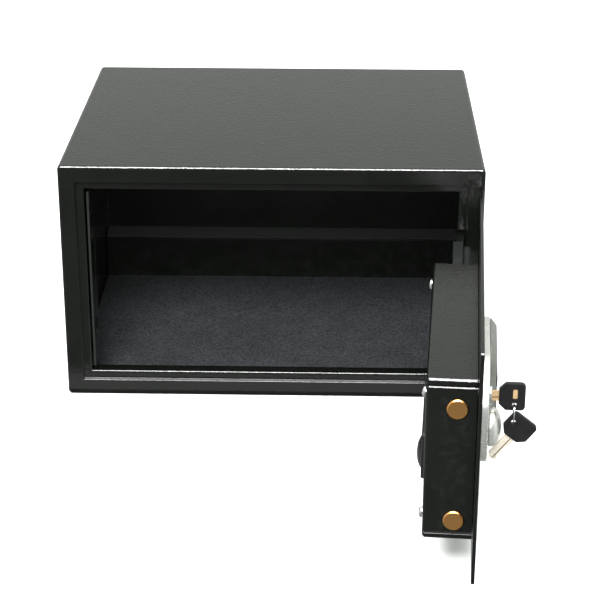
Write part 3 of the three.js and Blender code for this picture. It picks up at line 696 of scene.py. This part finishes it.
def edge_walk(columns, rows):
    """Grid places round the outside of the mat, in order, as (row, column)."""
    walk = [(0, i) for i in range(columns)]
    walk += [(j, columns) for j in range(rows)]
    walk += [(rows, i) for i in range(columns, 0, -1)]
    walk += [(j, 0) for j in range(rows, 0, -1)]
    return walk


def hinge_pin(level):
    part = extent("hinge_pin_" + level)
    radius = (part.x1 - part.x0) / 2
    profile = [(0, part.z0, 0), (radius, part.z0, 0.7), (radius, part.z1, 0.9), (0, part.z1, 0)]
    pin = turned("pin", softened(profile, 4, closed=False), 0, 0, 32)
    return placed(pin, (part.cx, part.cy, 0), ALONG_Z)


stand_for(case_shell(), "case_shell", PAINT)
stand_for(back_panel(), "back_panel", PAINT)
for side in ("left", "right"):
    stand_for(anchor_plug(side), "anchor_plug_" + side, RUBBER)
stand_for(door_stop(), "door_stop", PAINT)
stand_for(hinge_side_stop(), "hinge_side_stop", PAINT)
stand_for(strike_plate(), "strike_plate", INNER_PAINT)
stand_for(rear_channel(), "rear_channel", TOP_LIT_PAINT)
stand_for(floor_mat(), "floor_mat", FELT, smooth=80)
for level in ("upper", "lower"):
    stand_for(hinge_pin(level), "hinge_pin_" + level, ZINC)

# ---------- door plate and mechanism cover ----------
plate = extent("door_plate")
cover = extent("door_cover")
PLATE_BACK = plate.y0 + 3.0
COVER_BEND = 4.4
FLANGE_ARC = [math.radians(15 * k) for k in range(7)]
NECK_SPAN = {"upper": (160.0, 172.0), "lower": (60.0, 72.0)}  # in z


def door_plate():
    edge = 0.9
    profile = [(edge, plate.y0, 0), (0, plate.y0, edge), (0, PLATE_BACK, edge), (edge, PLATE_BACK, 0)]
    outline = rounded_rect(plate.x0, plate.x1, plate.z0, plate.z1, 1.6)
    return slab("plate", outline, softened(profile, 4, closed=False), (plate.cx, plate.cz))


def cover_outline():
    """The cover from behind; a groove under each bend marks off the free side's rounded flange."""
    bend, groove, depth = COVER_BEND, 1.2, 2.2
    x0, x1, z0, z1 = cover.x0, cover.x1, cover.z0, cover.z1

    def corner(z, towards):
        under = z + towards * (bend + 0.5)
        lip = under + towards * groove
        flange = [
            (x0 + depth - depth * math.sin(t), lip + towards * depth * (1 - math.cos(t)), 0)
            for t in FLANGE_ARC
        ]
        return [(x0, z, bend), (x0, under, 0.3), (x0 + depth, under, 0.1), *flange]

    corners = [(x1, z0, bend), (x1, z1, bend), *corner(z1, -1), *reversed(corner(z0, 1))]
    return softened(corners, 8)


def door_cover():
    """Folded box, open towards the plate, with its thickness, bends, bolt holes and battery opening."""
    sheet, bend, gap = 1.5, COVER_BEND, 0.3
    inside = cover.y1 - sheet
    outer = [(sheet, cover.y0, 0.3), (0, cover.y0, 0.5), (0, cover.y1, bend), (bend + 1, cover.y1, 0)]
    inner = [(bend + 1, inside, 0), (sheet, inside, bend - sheet), (sheet, cover.y0, 0)]
    profile = softened(inner, 4, closed=False)[:-1] + softened(outer, 7, closed=False)
    shell = slab("cover", cover_outline(), profile, (cover.cx, cover.cz))
    tray = extent("battery_tray")
    across, up = (tray.x0 - gap, tray.x1 + gap), (tray.z0 - gap, tray.z1 + gap)
    opening = block("opening", *across, cover.y1 - 6, cover.y1 + 3, *up)
    return carve(shell, opening, *bolt_tools(cover.x0 - 4, cover.x0 + 6, 0.4))


def hinge_arm(level):
    """Folded arm: the wide block by the cover, and a hooked neck with an eye round the pin."""
    arm = extent("hinge_arm_" + level)
    low, high = NECK_SPAN[level]
    px, py = HINGE["pos_m"][0] / MM, (HINGE["pos_m"][1] - FRONT_Y) / MM
    eye, bore_r = 4.0, 2.35
    neck_x, neck_front, neck_back = 128, 17, 24
    block_x, block_y = cover.x1 - 5.0, 17.4
    eye_arc = [math.radians(180 + k * 18) for k in range(11)]
    hook = [(px + eye * math.cos(a), py + eye * math.sin(a)) for a in eye_arc]
    outside = [(px + 2.5, py + 2, 0), (px + 2.5, neck_back, 5.5), (neck_x, neck_back, 0)]
    inside = [(neck_x, neck_front, 0), (px - eye, neck_front, 2.5), (px - eye, py + 2, 0)]
    hook += softened(outside, 6, closed=False) + softened(inside, 5, closed=False)
    neck = loft("neck", [[(x, y, z) for x, y in hook] for z in (low, high)])
    body = block("body", block_x, 134, block_y, 27, arm.z0, arm.z1 - 0.15)
    roll = block("roll", block_x, 131, 10.5, block_y + 0.2, arm.z0 + 1, arm.z1 - 3.4)
    foot = block("foot", 84, 124, PLATE_BACK + 0.3, 11, arm.z0 + 4, arm.z1 - 5)
    for part, width, segments in ((body, 1.2, 3), (roll, 2.6, 5), (foot, 0.6, 2)):
        apply_modifiers(bevel(part, width, segments))
    carve(neck, body, roll, foot, operation="UNION")
    bore = placed(turned("bore", [(bore_r, low - 2), (bore_r, high + 2)], 0, 0, 32), (px, py, 0), ALONG_Z)
    whole = bevel(carve(neck, bore), 0.35, 2, 50)
    # block and roll take the lighter paint, as painted light; the neck keeps the plain black paint
    painted(whole, PAINT).data.materials.append(ARM_PAINTED_LIT)
    block_end, foot_back = 134.3, 10.4
    for face in whole.data.polygons:
        face.material_index = int(face.center.x < block_end and face.center.y > foot_back)
    return whole


def cover_screw(number):
    """Pan head with a cross recess."""
    screw = extent(f"cover_screw_{number}")
    seat, top, shank = cover.y1 + 0.3, screw.y1, 1.6
    head = (screw.x1 - screw.x0) / 2
    dome_foot, rise = seat + 0.7, top - seat - 0.7
    dome = []
    for k in range(8):
        t = k * math.pi / 16
        dome.append((head * math.cos(t), dome_foot + rise * math.sin(t)))
    under = [(0, screw.y0), (shank, screw.y0), (shank, seat), (head - 0.3, seat), (head, seat + 0.25)]
    whole = turned("screw", [*under, *dome, (0, top)], screw.cx, screw.cz, 40)
    slots = []
    for turn in (0.4, 0.4 + math.pi / 2):
        slot = block("slot", -2.1, 2.1, top - 1.5, top + 1, -0.45, 0.45)
        slots.append(placed(slot, (screw.cx, 0, screw.cz), Matrix.Rotation(turn, 4, "Y")))
    return carve(whole, *slots)


def finger_grip(foot_y, top_y):
    """Rounded swelling on the battery lid, an ellipsoid's upper part that starts inside the lid's sheet."""
    grip_x, grip_z, half_x, half_z = -92.0, 87.0, 22.5, 12.7
    levels, sides, tip = 8, 40, 0.999
    rise = top_y - cover.y1 - 0.05
    foot = (foot_y - cover.y1) / rise
    around = [2 * math.pi * j / sides for j in range(sides)]
    rings = []
    for k in range(levels + 1):
        share = foot + (tip - foot) * math.sin(k / levels * math.pi / 2)
        size = math.sqrt(1 - share * share)
        x, z, y = half_x * size, half_z * size, cover.y1 + rise * share
        rings.append([(grip_x + x * math.cos(t), y, grip_z + z * math.sin(t)) for t in around])
    return loft("grip", rings)


def battery_lid():
    """Snap-on lid, hollow towards the cells, with a rounded finger grip at its free end."""
    lid = extent("battery_cover")
    wall, top = 1.4 + 1.2, cover.y1 + 3
    outline = rounded_rect(lid.x0, lid.x1, lid.z0, lid.z1, 4, 8)
    outer = softened([(0.3, lid.y0, 0), (0, lid.y0, 0.1), (0, top, 1.4), (2, top, 0)], 5, closed=False)
    inner = [(3, top - 1.5), (wall, top - 1.5), (wall, lid.y0 + 0.01)]
    whole = slab("lid", outline, inner + outer, (lid.cx, lid.cz))
    return bevel(carve(whole, finger_grip(top - 1, lid.y1), operation="UNION"), 0.25, 2, 50)


def battery_cell(number):
    """Printed sleeve with bare metal at both ends and a raised contact."""
    cell = extent(f"battery_{number}")
    radius = (cell.z1 - cell.z0) / 2
    length = cell.x1 - cell.x0
    nub, shoulder = 2.7, length - 1.2
    can = [
        (0, 0.5, 0),
        (3.6, 0.5, 0.2),
        (3.9, 0, 0.2),
        (radius, 0, 0.9),
        (radius, shoulder, 0.9),
        (nub, shoulder, 0.3),
        (nub, length, 0.4),
        (0, length, 0),
    ]
    whole = painted(turned("cell", softened(can, 3, closed=False), 0, 0, 40), SLEEVE)
    whole.data.materials.append(ZINC)
    for face in whole.data.polygons:
        face.material_index = int(not 0.8 <= face.center.y <= length - 2.2)
    return placed(whole, (cell.x0, cell.cy, cell.cz), ALONG_X)


stand_for(door_plate(), "door_plate", PAINT)
stand_for(door_cover(), "door_cover", PAINT)
for level in ("upper", "lower"):
    stand_for(hinge_arm(level), "hinge_arm_" + level)
for number in (1, 2, 3, 4):
    stand_for(cover_screw(number), f"cover_screw_{number}", CHROME)
    stand_for(battery_cell(number), f"battery_{number}")
stand_for(battery_lid(), "battery_cover", BLACK)


# ---------- bolts ----------
def bolt(name):
    """Turned bar: chamfered nose, a polished ring and faint tool rings on the end face."""
    part = extent(name)
    radius = (part.z1 - part.z0) / 2
    length = part.x1 - part.x0
    profile = []
    steps = 7
    for k in range(steps):
        r = (radius - 1.2) * k / steps
        profile += [(r, 0.10), (r + 0.45, 0.04)]
    profile += [(radius - 1.1, 0.06), (radius - 0.95, 0.0), (radius - 0.85, 0.05)]
    profile += [(radius - 0.12, 0.78), (radius, 1.0), (radius, length), (0, length)]
    return placed(turned("bolt", profile, 0, 0, 64), (part.x0, part.cy, part.cz), ALONG_X)


for name in ("bolt_upper", "bolt_lower"):
    stand_for(bolt(name), name, BOLT_BRASS, smooth=60)

# ---------- keypad fascia ----------
fascia = extent("fascia_base")
pad = extent("keypad_module")


def fascia_base():
    """Plate with a half-round end at the knob and rounded corners at the keypad."""
    edge = [(0.2, fascia.y1, 0), (0, fascia.y1, 0.1), (0, fascia.y0, 1.9), (2.4, fascia.y0, 0)]
    end, corner = (fascia.z1 - fascia.z0) / 2 - 0.1, 20
    corners = [
        (fascia.x0, fascia.z0, end),
        (fascia.x1, fascia.z0, corner),
        (fascia.x1, fascia.z1, corner),
        (fascia.x0, fascia.z1, end),
    ]
    profile = softened(edge, 8, closed=False)
    whole = slab("fascia", softened(corners, 24), profile, (fascia.cx, fascia.cz))
    tools = []
    for node, radius in (("spindle_bush", 6.8), ("lock_housing", 8.3)):
        part = extent(node)
        tools.append(rod("hole", radius, part.cx, part.cz, fascia.y0 - 2, fascia.y1 + 2))
    return bevel(carve(whole, *tools), 0.25, 2, 50)


KEYS = ["1", "2", "3", "4", "5", "6", "7", "8", "9", "clear", "0", "lock"]
MARK_OF = {"clear": "*", "lock": "#"}


def keypad_module():
    """Housing with sides that slope in a soft S, a well for each key and a seat for the window."""
    slope = 5.6
    side = [
        (0.4, pad.y1, 0),
        (0, pad.y1, 0.1),
        (0.3, pad.y1 - 1.2, 0.8),
        (slope - 0.6, pad.y0, 2.6),
        (slope + 3, pad.y0, 0),
    ]
    outline = rounded_rect(pad.x0, pad.x1, pad.z0, pad.z1, 17.6, 14)
    whole = slab("pad", outline, softened(side, 7, closed=False), (pad.cx, pad.cz))

    def pocket(node, gap, corner, steps, depth):
        part = extent(node)
        edge = rounded_rect(part.x0 - gap, part.x1 + gap, part.z0 - gap, part.z1 + gap, corner, steps)
        return slab("pocket", edge, [(0, pad.y0 - 3), (0, pad.y0 + depth)], (part.cx, part.cz))

    tools = [pocket("keypad_key_" + label, 0.4, 1.6, 4, 5.4) for label in KEYS]
    tools.append(pocket("display_window", 0.3, 2.3, 5, 1.8))
    return bevel(carve(whole, *tools), 0.3, 2, 50)


def display_window():
    window = extent("display_window")
    outline = rounded_rect(window.x0, window.x1, window.z0, window.z1, 2, 6)
    edge = [(0.2, window.y1, 0), (0, window.y1, 0), (0, window.y0, 0.5), (1, window.y0, 0)]
    return slab("window", outline, softened(edge, 4, closed=False), (window.cx, window.cz))


def key_mark(character):
    """A raised character, centred on the origin in x and y."""
    text = bpy.data.curves.new("mark", "FONT")
    text.body = character
    text.size = 6.4
    text.extrude = 0.1
    text.align_x = "CENTER"
    text.align_y = "CENTER"
    text.resolution_u = 3
    letter = bpy.data.objects.new("mark", text)
    bpy.context.scene.collection.objects.link(letter)
    bpy.context.view_layer.update()
    graph = bpy.context.evaluated_depsgraph_get()
    data = bpy.data.meshes.new_from_object(letter.evaluated_get(graph))
    bpy.data.objects.remove(letter)
    lows = [min(v.co[i] for v in data.vertices) for i in (0, 1)]
    highs = [max(v.co[i] for v in data.vertices) for i in (0, 1)]
    offset = (-(lows[0] + highs[0]) / 2, -(lows[1] + highs[1]) / 2, 0)
    return data, Matrix.Translation(offset)


def keypad_key(label):
    """Dished cap with a soft shoulder and a raised white mark."""
    key = extent("keypad_key_" + label)
    outline = rounded_rect(key.x0, key.x1, key.z0, key.z1, 1.7, 5)
    profile = softened([(0, key.y1, 0), (0, key.y0 + 0.1, 0.8), (1.5, key.y0, 0.3)], 4, closed=False)
    profile += [(2.4, key.y0 + 0.12), (3.6, key.y0 + 0.2)]
    cap = painted(slab("cap", outline, profile, (key.cx, key.cz)), BLACK)
    data, centred = key_mark(MARK_OF.get(label, label))
    mark = bpy.data.objects.new("mark", data)
    bpy.context.scene.collection.objects.link(mark)
    placed(mark, (key.cx, key.y0 + 0.12, key.cz), ALONG_Z @ centred)
    return joined("key", cap, painted(mark, MARKS))


stand_for(fascia_base(), "fascia_base", SILVER)
stand_for(keypad_module(), "keypad_module", SMOKE)
stand_for(display_window(), "display_window", DISPLAY)
for label in KEYS:
    stand_for(keypad_key(label), "keypad_key_" + label)


# ---------- knob, lock and keys ----------
def knob_cap():
    """Dome that runs out into a thin skirt, with a pointer groove."""
    knob = extent("knob_cap")
    radius = (knob.x1 - knob.x0) / 2
    rim, steps = 3.0, 16
    brim = knob.y1 - rim
    rise = brim - knob.y0
    profile = [(0, knob.y1), (radius - 0.8, knob.y1), (radius - 0.2, knob.y1 - 0.3)]
    profile += [(radius, knob.y1 - 0.9), (radius, brim + 0.5)]
    for k in range(1, steps + 1):
        t = k / steps * math.pi / 2
        profile.append((radius * math.cos(t), brim - rise * math.sin(t)))
    whole = turned("knob", profile, knob.cx, knob.cz, 72)
    socket = rod("socket", 4.3, knob.cx, knob.cz, knob.y0 + 5.2, knob.y1 + 2)
    half, outer_end, inner_end = 0.8, knob.cz - radius - 2, knob.cz - 2
    groove = block("groove", knob.cx - half, knob.cx + half, knob.y0 - 4, knob.y0 + 1.2, outer_end, inner_end)
    return bevel(carve(whole, socket, groove), 0.3, 3, 40)


def lock_housing():
    """Collar round the lock plug."""
    part = extent("lock_housing")
    radius, bore = (part.x1 - part.x0) / 2, 6.12
    section = [(bore, part.y1, 0), (radius, part.y1, 0.4), (radius, part.y0, 1.3), (bore, part.y0, 0.6)]
    return turned("collar", softened(section, 5), part.cx, part.cz, 56, closed=True)


def lock_plug():
    """Plug with a slot that clears the key's blade."""
    part, blade = extent("lock_plug"), extent("key_blade")
    radius = (part.x1 - part.x0) / 2
    side = [(0, part.y0, 0), (radius, part.y0, 0.5), (radius, part.y1, 0.4), (0, part.y1, 0)]
    whole = turned("plug", softened(side, 4, closed=False), part.cx, part.cz, 56)
    gap = 0.3
    half, tall = (blade.x1 - blade.x0) / 2 + gap, (blade.z1 - blade.z0) / 2 + gap
    across, up = (part.cx - half, part.cx + half), (part.cz - tall, part.cz + tall)
    keyway = block("keyway", *across, part.y0 - 2, blade.y1 + 0.8, *up)
    return bevel(carve(whole, keyway), 0.15, 2, 50)


bow_cad, blade_cad = extent("key_bow"), extent("key_blade")
BOW_EDGE_Y = bow_cad.y1
BOW_LENGTH = bow_cad.y1 - bow_cad.y0
BOW_HEIGHT = bow_cad.z1 - bow_cad.z0
BOW_THICK = bow_cad.x1 - bow_cad.x0
BLADE_LENGTH = blade_cad.y1 - BOW_EDGE_Y
BLADE_HEIGHT = blade_cad.z1 - blade_cad.z0
BLADE_THICK = blade_cad.x1 - blade_cad.x0
LOCK_PLACE = Matrix.Translation((bow_cad.cx, BOW_EDGE_Y, bow_cad.cz))


def hang_point(joint_name):
    """A joint's place in drawing millimetres, on the shut door."""
    joint = next(j for j in frame["joints"] if j["name"] == joint_name)
    return (DOOR @ FROM_FRONT).inverted() @ Vector(joint["pos_m"])


RING_TOP, RING_FOOT = hang_point("ring_swing"), hang_point("spare_swing")
HOLE_R = 2.1
HOLE_ALONG = RING_TOP.y - BOW_EDGE_Y
HOLE_ACROSS = -7.2
SPARE_TILT = math.radians(-52)
SPARE_DROP = 0.55
SPARE_PLACE = (
    Matrix.Translation(RING_FOOT - Vector((0, 0, SPARE_DROP)))
    @ Matrix.Rotation(SPARE_TILT, 4, "X")
    @ Matrix.Translation((0, -HOLE_ALONG, HOLE_ACROSS))
    @ Matrix.Rotation(math.pi, 4, "Y")
)


def key_bow(place):
    """Moulded grip: chamfered shoulders, an eye for the ring and a slot where the brass tongue shows."""
    half, back, chamfer = BOW_HEIGHT / 2, -BOW_LENGTH, 5.5
    corners = [
        (0, -half + chamfer, 1.2),
        (0, half - chamfer, 1.2),
        (-chamfer, half, 1.6),
        (back, half, 3.6),
        (back, -half, 3.6),
        (-chamfer, -half, 1.6),
    ]
    grip = bevel(extruded("bow", softened(corners, 5), -BOW_THICK / 2, BOW_THICK / 2), 0.8, 3)
    apply_modifiers(grip)
    eye_turn = Matrix.Rotation(math.pi / 2, 4, "Z")
    eye = placed(rod("eye", HOLE_R, 0, 0, -6, 6, 32), (0, HOLE_ALONG, HOLE_ACROSS), eye_turn)
    slot_y, slot_z, wide, long = HOLE_ALONG - 0.4, 2.6, 1.8, 4.3
    y0, y1, z0, z1 = slot_y - wide, slot_y + wide, slot_z - long, slot_z + long
    window = extruded("slot", rounded_rect(y0, y1, z0, z1, 0.8, 3), -6, 0)
    side, tall = BLADE_THICK / 2 + 0.3, BLADE_HEIGHT / 2 + 0.3
    socket = block("socket", -side, side, -4, 1, -tall, tall)
    painted(carve(grip, eye, window, socket), BLACK)
    apply_modifiers(bevel(grip, 0.3, 2, 50))
    under = 0.6
    tongue = block("tongue", -1.5, 0.9, y0 - under, y1 + under, z0 - under, z1 + under)
    whole = joined("bow", grip, painted(tongue, KEY_BRASS))
    whole.data.transform(place)
    return whole


def key_blade(place, brass):
    """Flat brass blade with pin cuts along one edge and a milled groove along each side."""
    half, tip, root = BLADE_HEIGHT / 2, BLADE_LENGTH, -3.6
    outline = [(root, -half, 0), (tip - 2.6, -half, 0.5), (tip, -half + 2.6, 0.5)]
    cuts, step = [0.4, 1.5, 0.8, 1.9, 1.1], 3.4
    for k, depth in enumerate(cuts):
        end = tip - 0.6 - k * step
        outline += [(end, half - depth, 0.25), (end - step * 0.6, half - depth, 0.25)]
    outline += [(tip - 19.5, half, 0.3), (root, half, 0)]
    blade = extruded("blade", softened(outline, 3), -BLADE_THICK / 2, BLADE_THICK / 2)
    groove_z, groove_half, groove_deep = 1.0, 0.55, 0.45
    tools = []
    for side in (-1, 1):
        x, z = side * BLADE_THICK / 2, side * groove_z
        across, up = (x - groove_deep, x + groove_deep), (z - groove_half, z + groove_half)
        tools.append(block("groove", *across, 0.5, tip + 1, *up))
    carve(blade, *tools)
    apply_modifiers(bevel(blade, 0.12, 2, 40))
    # the groove floors are painted dark, as painted shade in the grooves
    painted(blade, brass).data.materials.append(GROOVE_SHADE)
    for face in blade.data.polygons:
        x, y, z = face.center
        sunken = abs(x) < BLADE_THICK / 2 - 0.25
        face.material_index = int(sunken and abs(abs(z) - groove_z) < 0.6 and y < tip - 0.3)
    blade.data.transform(place)
    return blade


def key_ring():
    """Split ring: two turns of round wire side by side, closed at both ends."""
    ring = extent("key_ring")
    radius = (ring.x1 - ring.x0) / 2
    wire = (ring.y1 - ring.y0) / 4 * 0.98
    middle = radius - 2 * wire
    centre = Vector((ring.cx, ring.cy, ring.cz))
    axis = Vector((0, 1, 0))
    turns, steps, sides, start = 2, 160, 12, 0.9
    around = [2 * math.pi * s / sides for s in range(sides)]
    rings = []
    for k in range(steps + 1):
        share = k / steps
        angle = 2 * math.pi * turns * share + start
        out = Vector((math.cos(angle), 0, math.sin(angle)))
        spot = centre + out * (middle + wire) + Vector((0, (share - 0.5) * 2 * wire, 0))
        taper = 0.75 if k in (0, steps) else 1.0
        rings.append([spot + (out * math.cos(a) + axis * math.sin(a)) * wire * taper for a in around])
    return loft("ring", rings)


stand_for(knob_cap(), "knob_cap", SILVER)
stand_for(lock_housing(), "lock_housing", CHROME)
stand_for(lock_plug(), "lock_plug", KEY_BRASS)
stand_for(key_bow(LOCK_PLACE), "key_bow")
stand_for(key_blade(LOCK_PLACE, KEY_BRASS), "key_blade")
stand_for(key_ring(), "key_ring", CHROME)
stand_for(key_bow(SPARE_PLACE), "spare_key_bow")
# the spare blade's paler brass is a painted reflection
stand_for(key_blade(SPARE_PLACE, REFLECTION_PALE_BRASS), "spare_key_blade")

# ---------- CAD nodes that stay, with their own materials and eased edges ----------
replaced = {node for piece in bpy.data.objects for node in piece.get("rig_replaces", [])}
for node, piece in frame["nodes"].items():
    if node in replaced:
        continue
    for slot in piece.material_slots:
        slot.material = KEPT[SLOT_OF[node]]
    bevel(piece, 0.2 * MM, 2, 40)

# ---------- camera, floor and light ----------
CAMERA_PLACE = Vector((0.0639, -1.7663, 0.7889))
CAMERA_PITCH = math.radians(23.22)
CAMERA_YAW = math.radians(-1.31)
CAMERA_ROLL = math.radians(-0.08)
CAMERA_LENS = 109.0


def add_camera():
    data = bpy.data.cameras.new("camera")
    data.lens = CAMERA_LENS
    data.sensor_width = 36.0
    data.clip_end = 60.0
    camera = bpy.data.objects.new("camera", data)
    bpy.context.scene.collection.objects.link(camera)
    turn = Matrix.Rotation(-CAMERA_YAW, 4, "Z") @ Matrix.Rotation(math.pi / 2 - CAMERA_PITCH, 4, "X")
    camera.matrix_world = Matrix.Translation(CAMERA_PLACE) @ turn @ Matrix.Rotation(-CAMERA_ROLL, 4, "Z")
    bpy.context.scene.camera = camera


def add_floor():
    s = Surface("pale_floor")
    s.colour(s.ramp(s.noise(3, 2), (0.3, (0.92, 0.92, 0.92)), (0.7, (0.94, 0.94, 0.94))))
    s.roughness(s.ramp(s.noise(40), (0.3, 0.75), (0.7, 0.85)))
    s.shader.inputs["Specular IOR Level"].default_value = 0.0
    reach = 12.0
    corners = [(-reach, -reach, 0), (reach, -reach, 0), (reach, reach, 0), (-reach, reach, 0)]
    floor = mesh_object("floor", corners, [(0, 1, 2, 3)])
    painted(floor, s.material)
    floor.visible_glossy = False
    return s.material


def gather(name, body, *materials):
    """A collection of the pieces of a body, or of all bodies, that wear any of these materials."""
    found = bpy.data.collections.new(name)
    for piece in bpy.context.scene.objects:
        node = piece.name.removesuffix("_detailed")
        if body and BODY_OF.get(node) != body:
            continue
        if {slot.material for slot in piece.material_slots} & set(materials):
            found.objects.link(piece)
    return found


def add_light(name, place, aim, size, radiance, reach="all", pieces=None):
    """A softbox of a given brightness; "gloss" shines only in gloss, "matte" never does, pieces limits it."""
    data = bpy.data.lights.new(name, "AREA")
    data.shape = "RECTANGLE"
    data.size, data.size_y = size
    data.energy = math.pi * radiance * size[0] * size[1]
    light = bpy.data.objects.new(name, data)
    bpy.context.scene.collection.objects.link(light)
    light.location = place
    light.rotation_mode = "QUATERNION"
    light.rotation_quaternion = (Vector(aim) - Vector(place)).to_track_quat("-Z", "Y")
    light.visible_camera = False
    light.visible_diffuse = reach != "gloss"
    light.visible_glossy = reach != "matte"
    if pieces:
        light.light_linking.receiver_collection = pieces


def add_world():
    """Pale all round, brighter overhead; below the horizon it stands in for the floor in glossy surfaces."""
    world = bpy.data.worlds.new("studio")
    world.use_nodes = True
    tree = world.node_tree
    place = tree.nodes.new("ShaderNodeTexCoord")
    split = tree.nodes.new("ShaderNodeSeparateXYZ")
    tree.links.new(place.outputs["Generated"], split.inputs["Vector"])

    def gradient(axis, *stops):
        """Colours at places from -1 to 1 along an axis."""
        half = tree.nodes.new("ShaderNodeMath")
        half.operation = "MULTIPLY_ADD"
        half.inputs[1].default_value = 0.5
        half.inputs[2].default_value = 0.5
        tree.links.new(split.outputs[axis], half.inputs[0])
        shares = [((at + 1) / 2, colour) for at, colour in stops]
        return colour_ramp(tree, half.outputs["Value"], shares, "EASE")

    front, middle, back = (0.42, 0.43, 0.42), (0.86, 0.89, 0.86), (0.77, 0.80, 0.765)
    around = gradient("Y", (-0.9, front), (-0.45, middle), (0.5, back))
    height = gradient(
        "Z",
        (-0.95, (0.3, 0.3, 0.29)),
        (-0.6, (0.5, 0.5, 0.49)),
        (-0.4, (0.66, 0.66, 0.65)),
        (0.0, 0.8),
        (0.1, 1.0),
        (0.5, 1.0),
        (0.9, 2.4),
    )
    tree.links.new(multiplied(tree, around, height), tree.nodes["Background"].inputs["Color"])
    bpy.context.scene.world = world


add_camera()
floor_paint = add_floor()
floor_only = gather("floor_only", None, floor_paint)
door_paint = gather("door_paint", "door", PAINT)
case_paint = gather("case_paint", "case", PAINT, TOP_LIT_PAINT)
inner_paint = gather("inside", "case", PAINT, TOP_LIT_PAINT, INNER_PAINT)
metals = gather("metals", None, BOLT_BRASS, CHROME, ZINC)
GLOSS_FROM, GLOSS_AT = (0.0, -0.95, 1.6), (0.0, -0.1, 0.1)
add_light("overhead", (0.0, 0.0, 2.4), (0.0, -0.1, 0.0), (2.0, 2.0), 2.0)
add_light("front", (-0.25, -2.0, 1.7), (0.0, 0.0, 0.05), (1.1, 0.8), 48.0, "matte")
add_light("gloss_door", GLOSS_FROM, GLOSS_AT, (2.2, 3.0), 58.0, "gloss", door_paint)
add_light("gloss_case", GLOSS_FROM, GLOSS_AT, (2.2, 0.8), 90.0, "gloss", case_paint)
add_light("gloss_metal", GLOSS_FROM, GLOSS_AT, (1.2, 0.7), 26.0, "gloss", metals)
add_light("floor_fill", (0.0, -0.8, 2.6), (0.0, -0.3, 0.0), (2.0, 2.0), 1.5, "matte", floor_only)
add_light("inside", (0.0, -0.12, 0.19), (0.0, 0.17, 0.05), (0.3, 0.08), 16.0, "matte", inner_paint)
add_light("sill", (0.0, -0.19, 0.004), (0.0, -0.19, 1.0), (0.44, 0.04), 1.2, "gloss", case_paint)
add_world()
bpy.context.scene.view_settings.view_transform = "Standard"
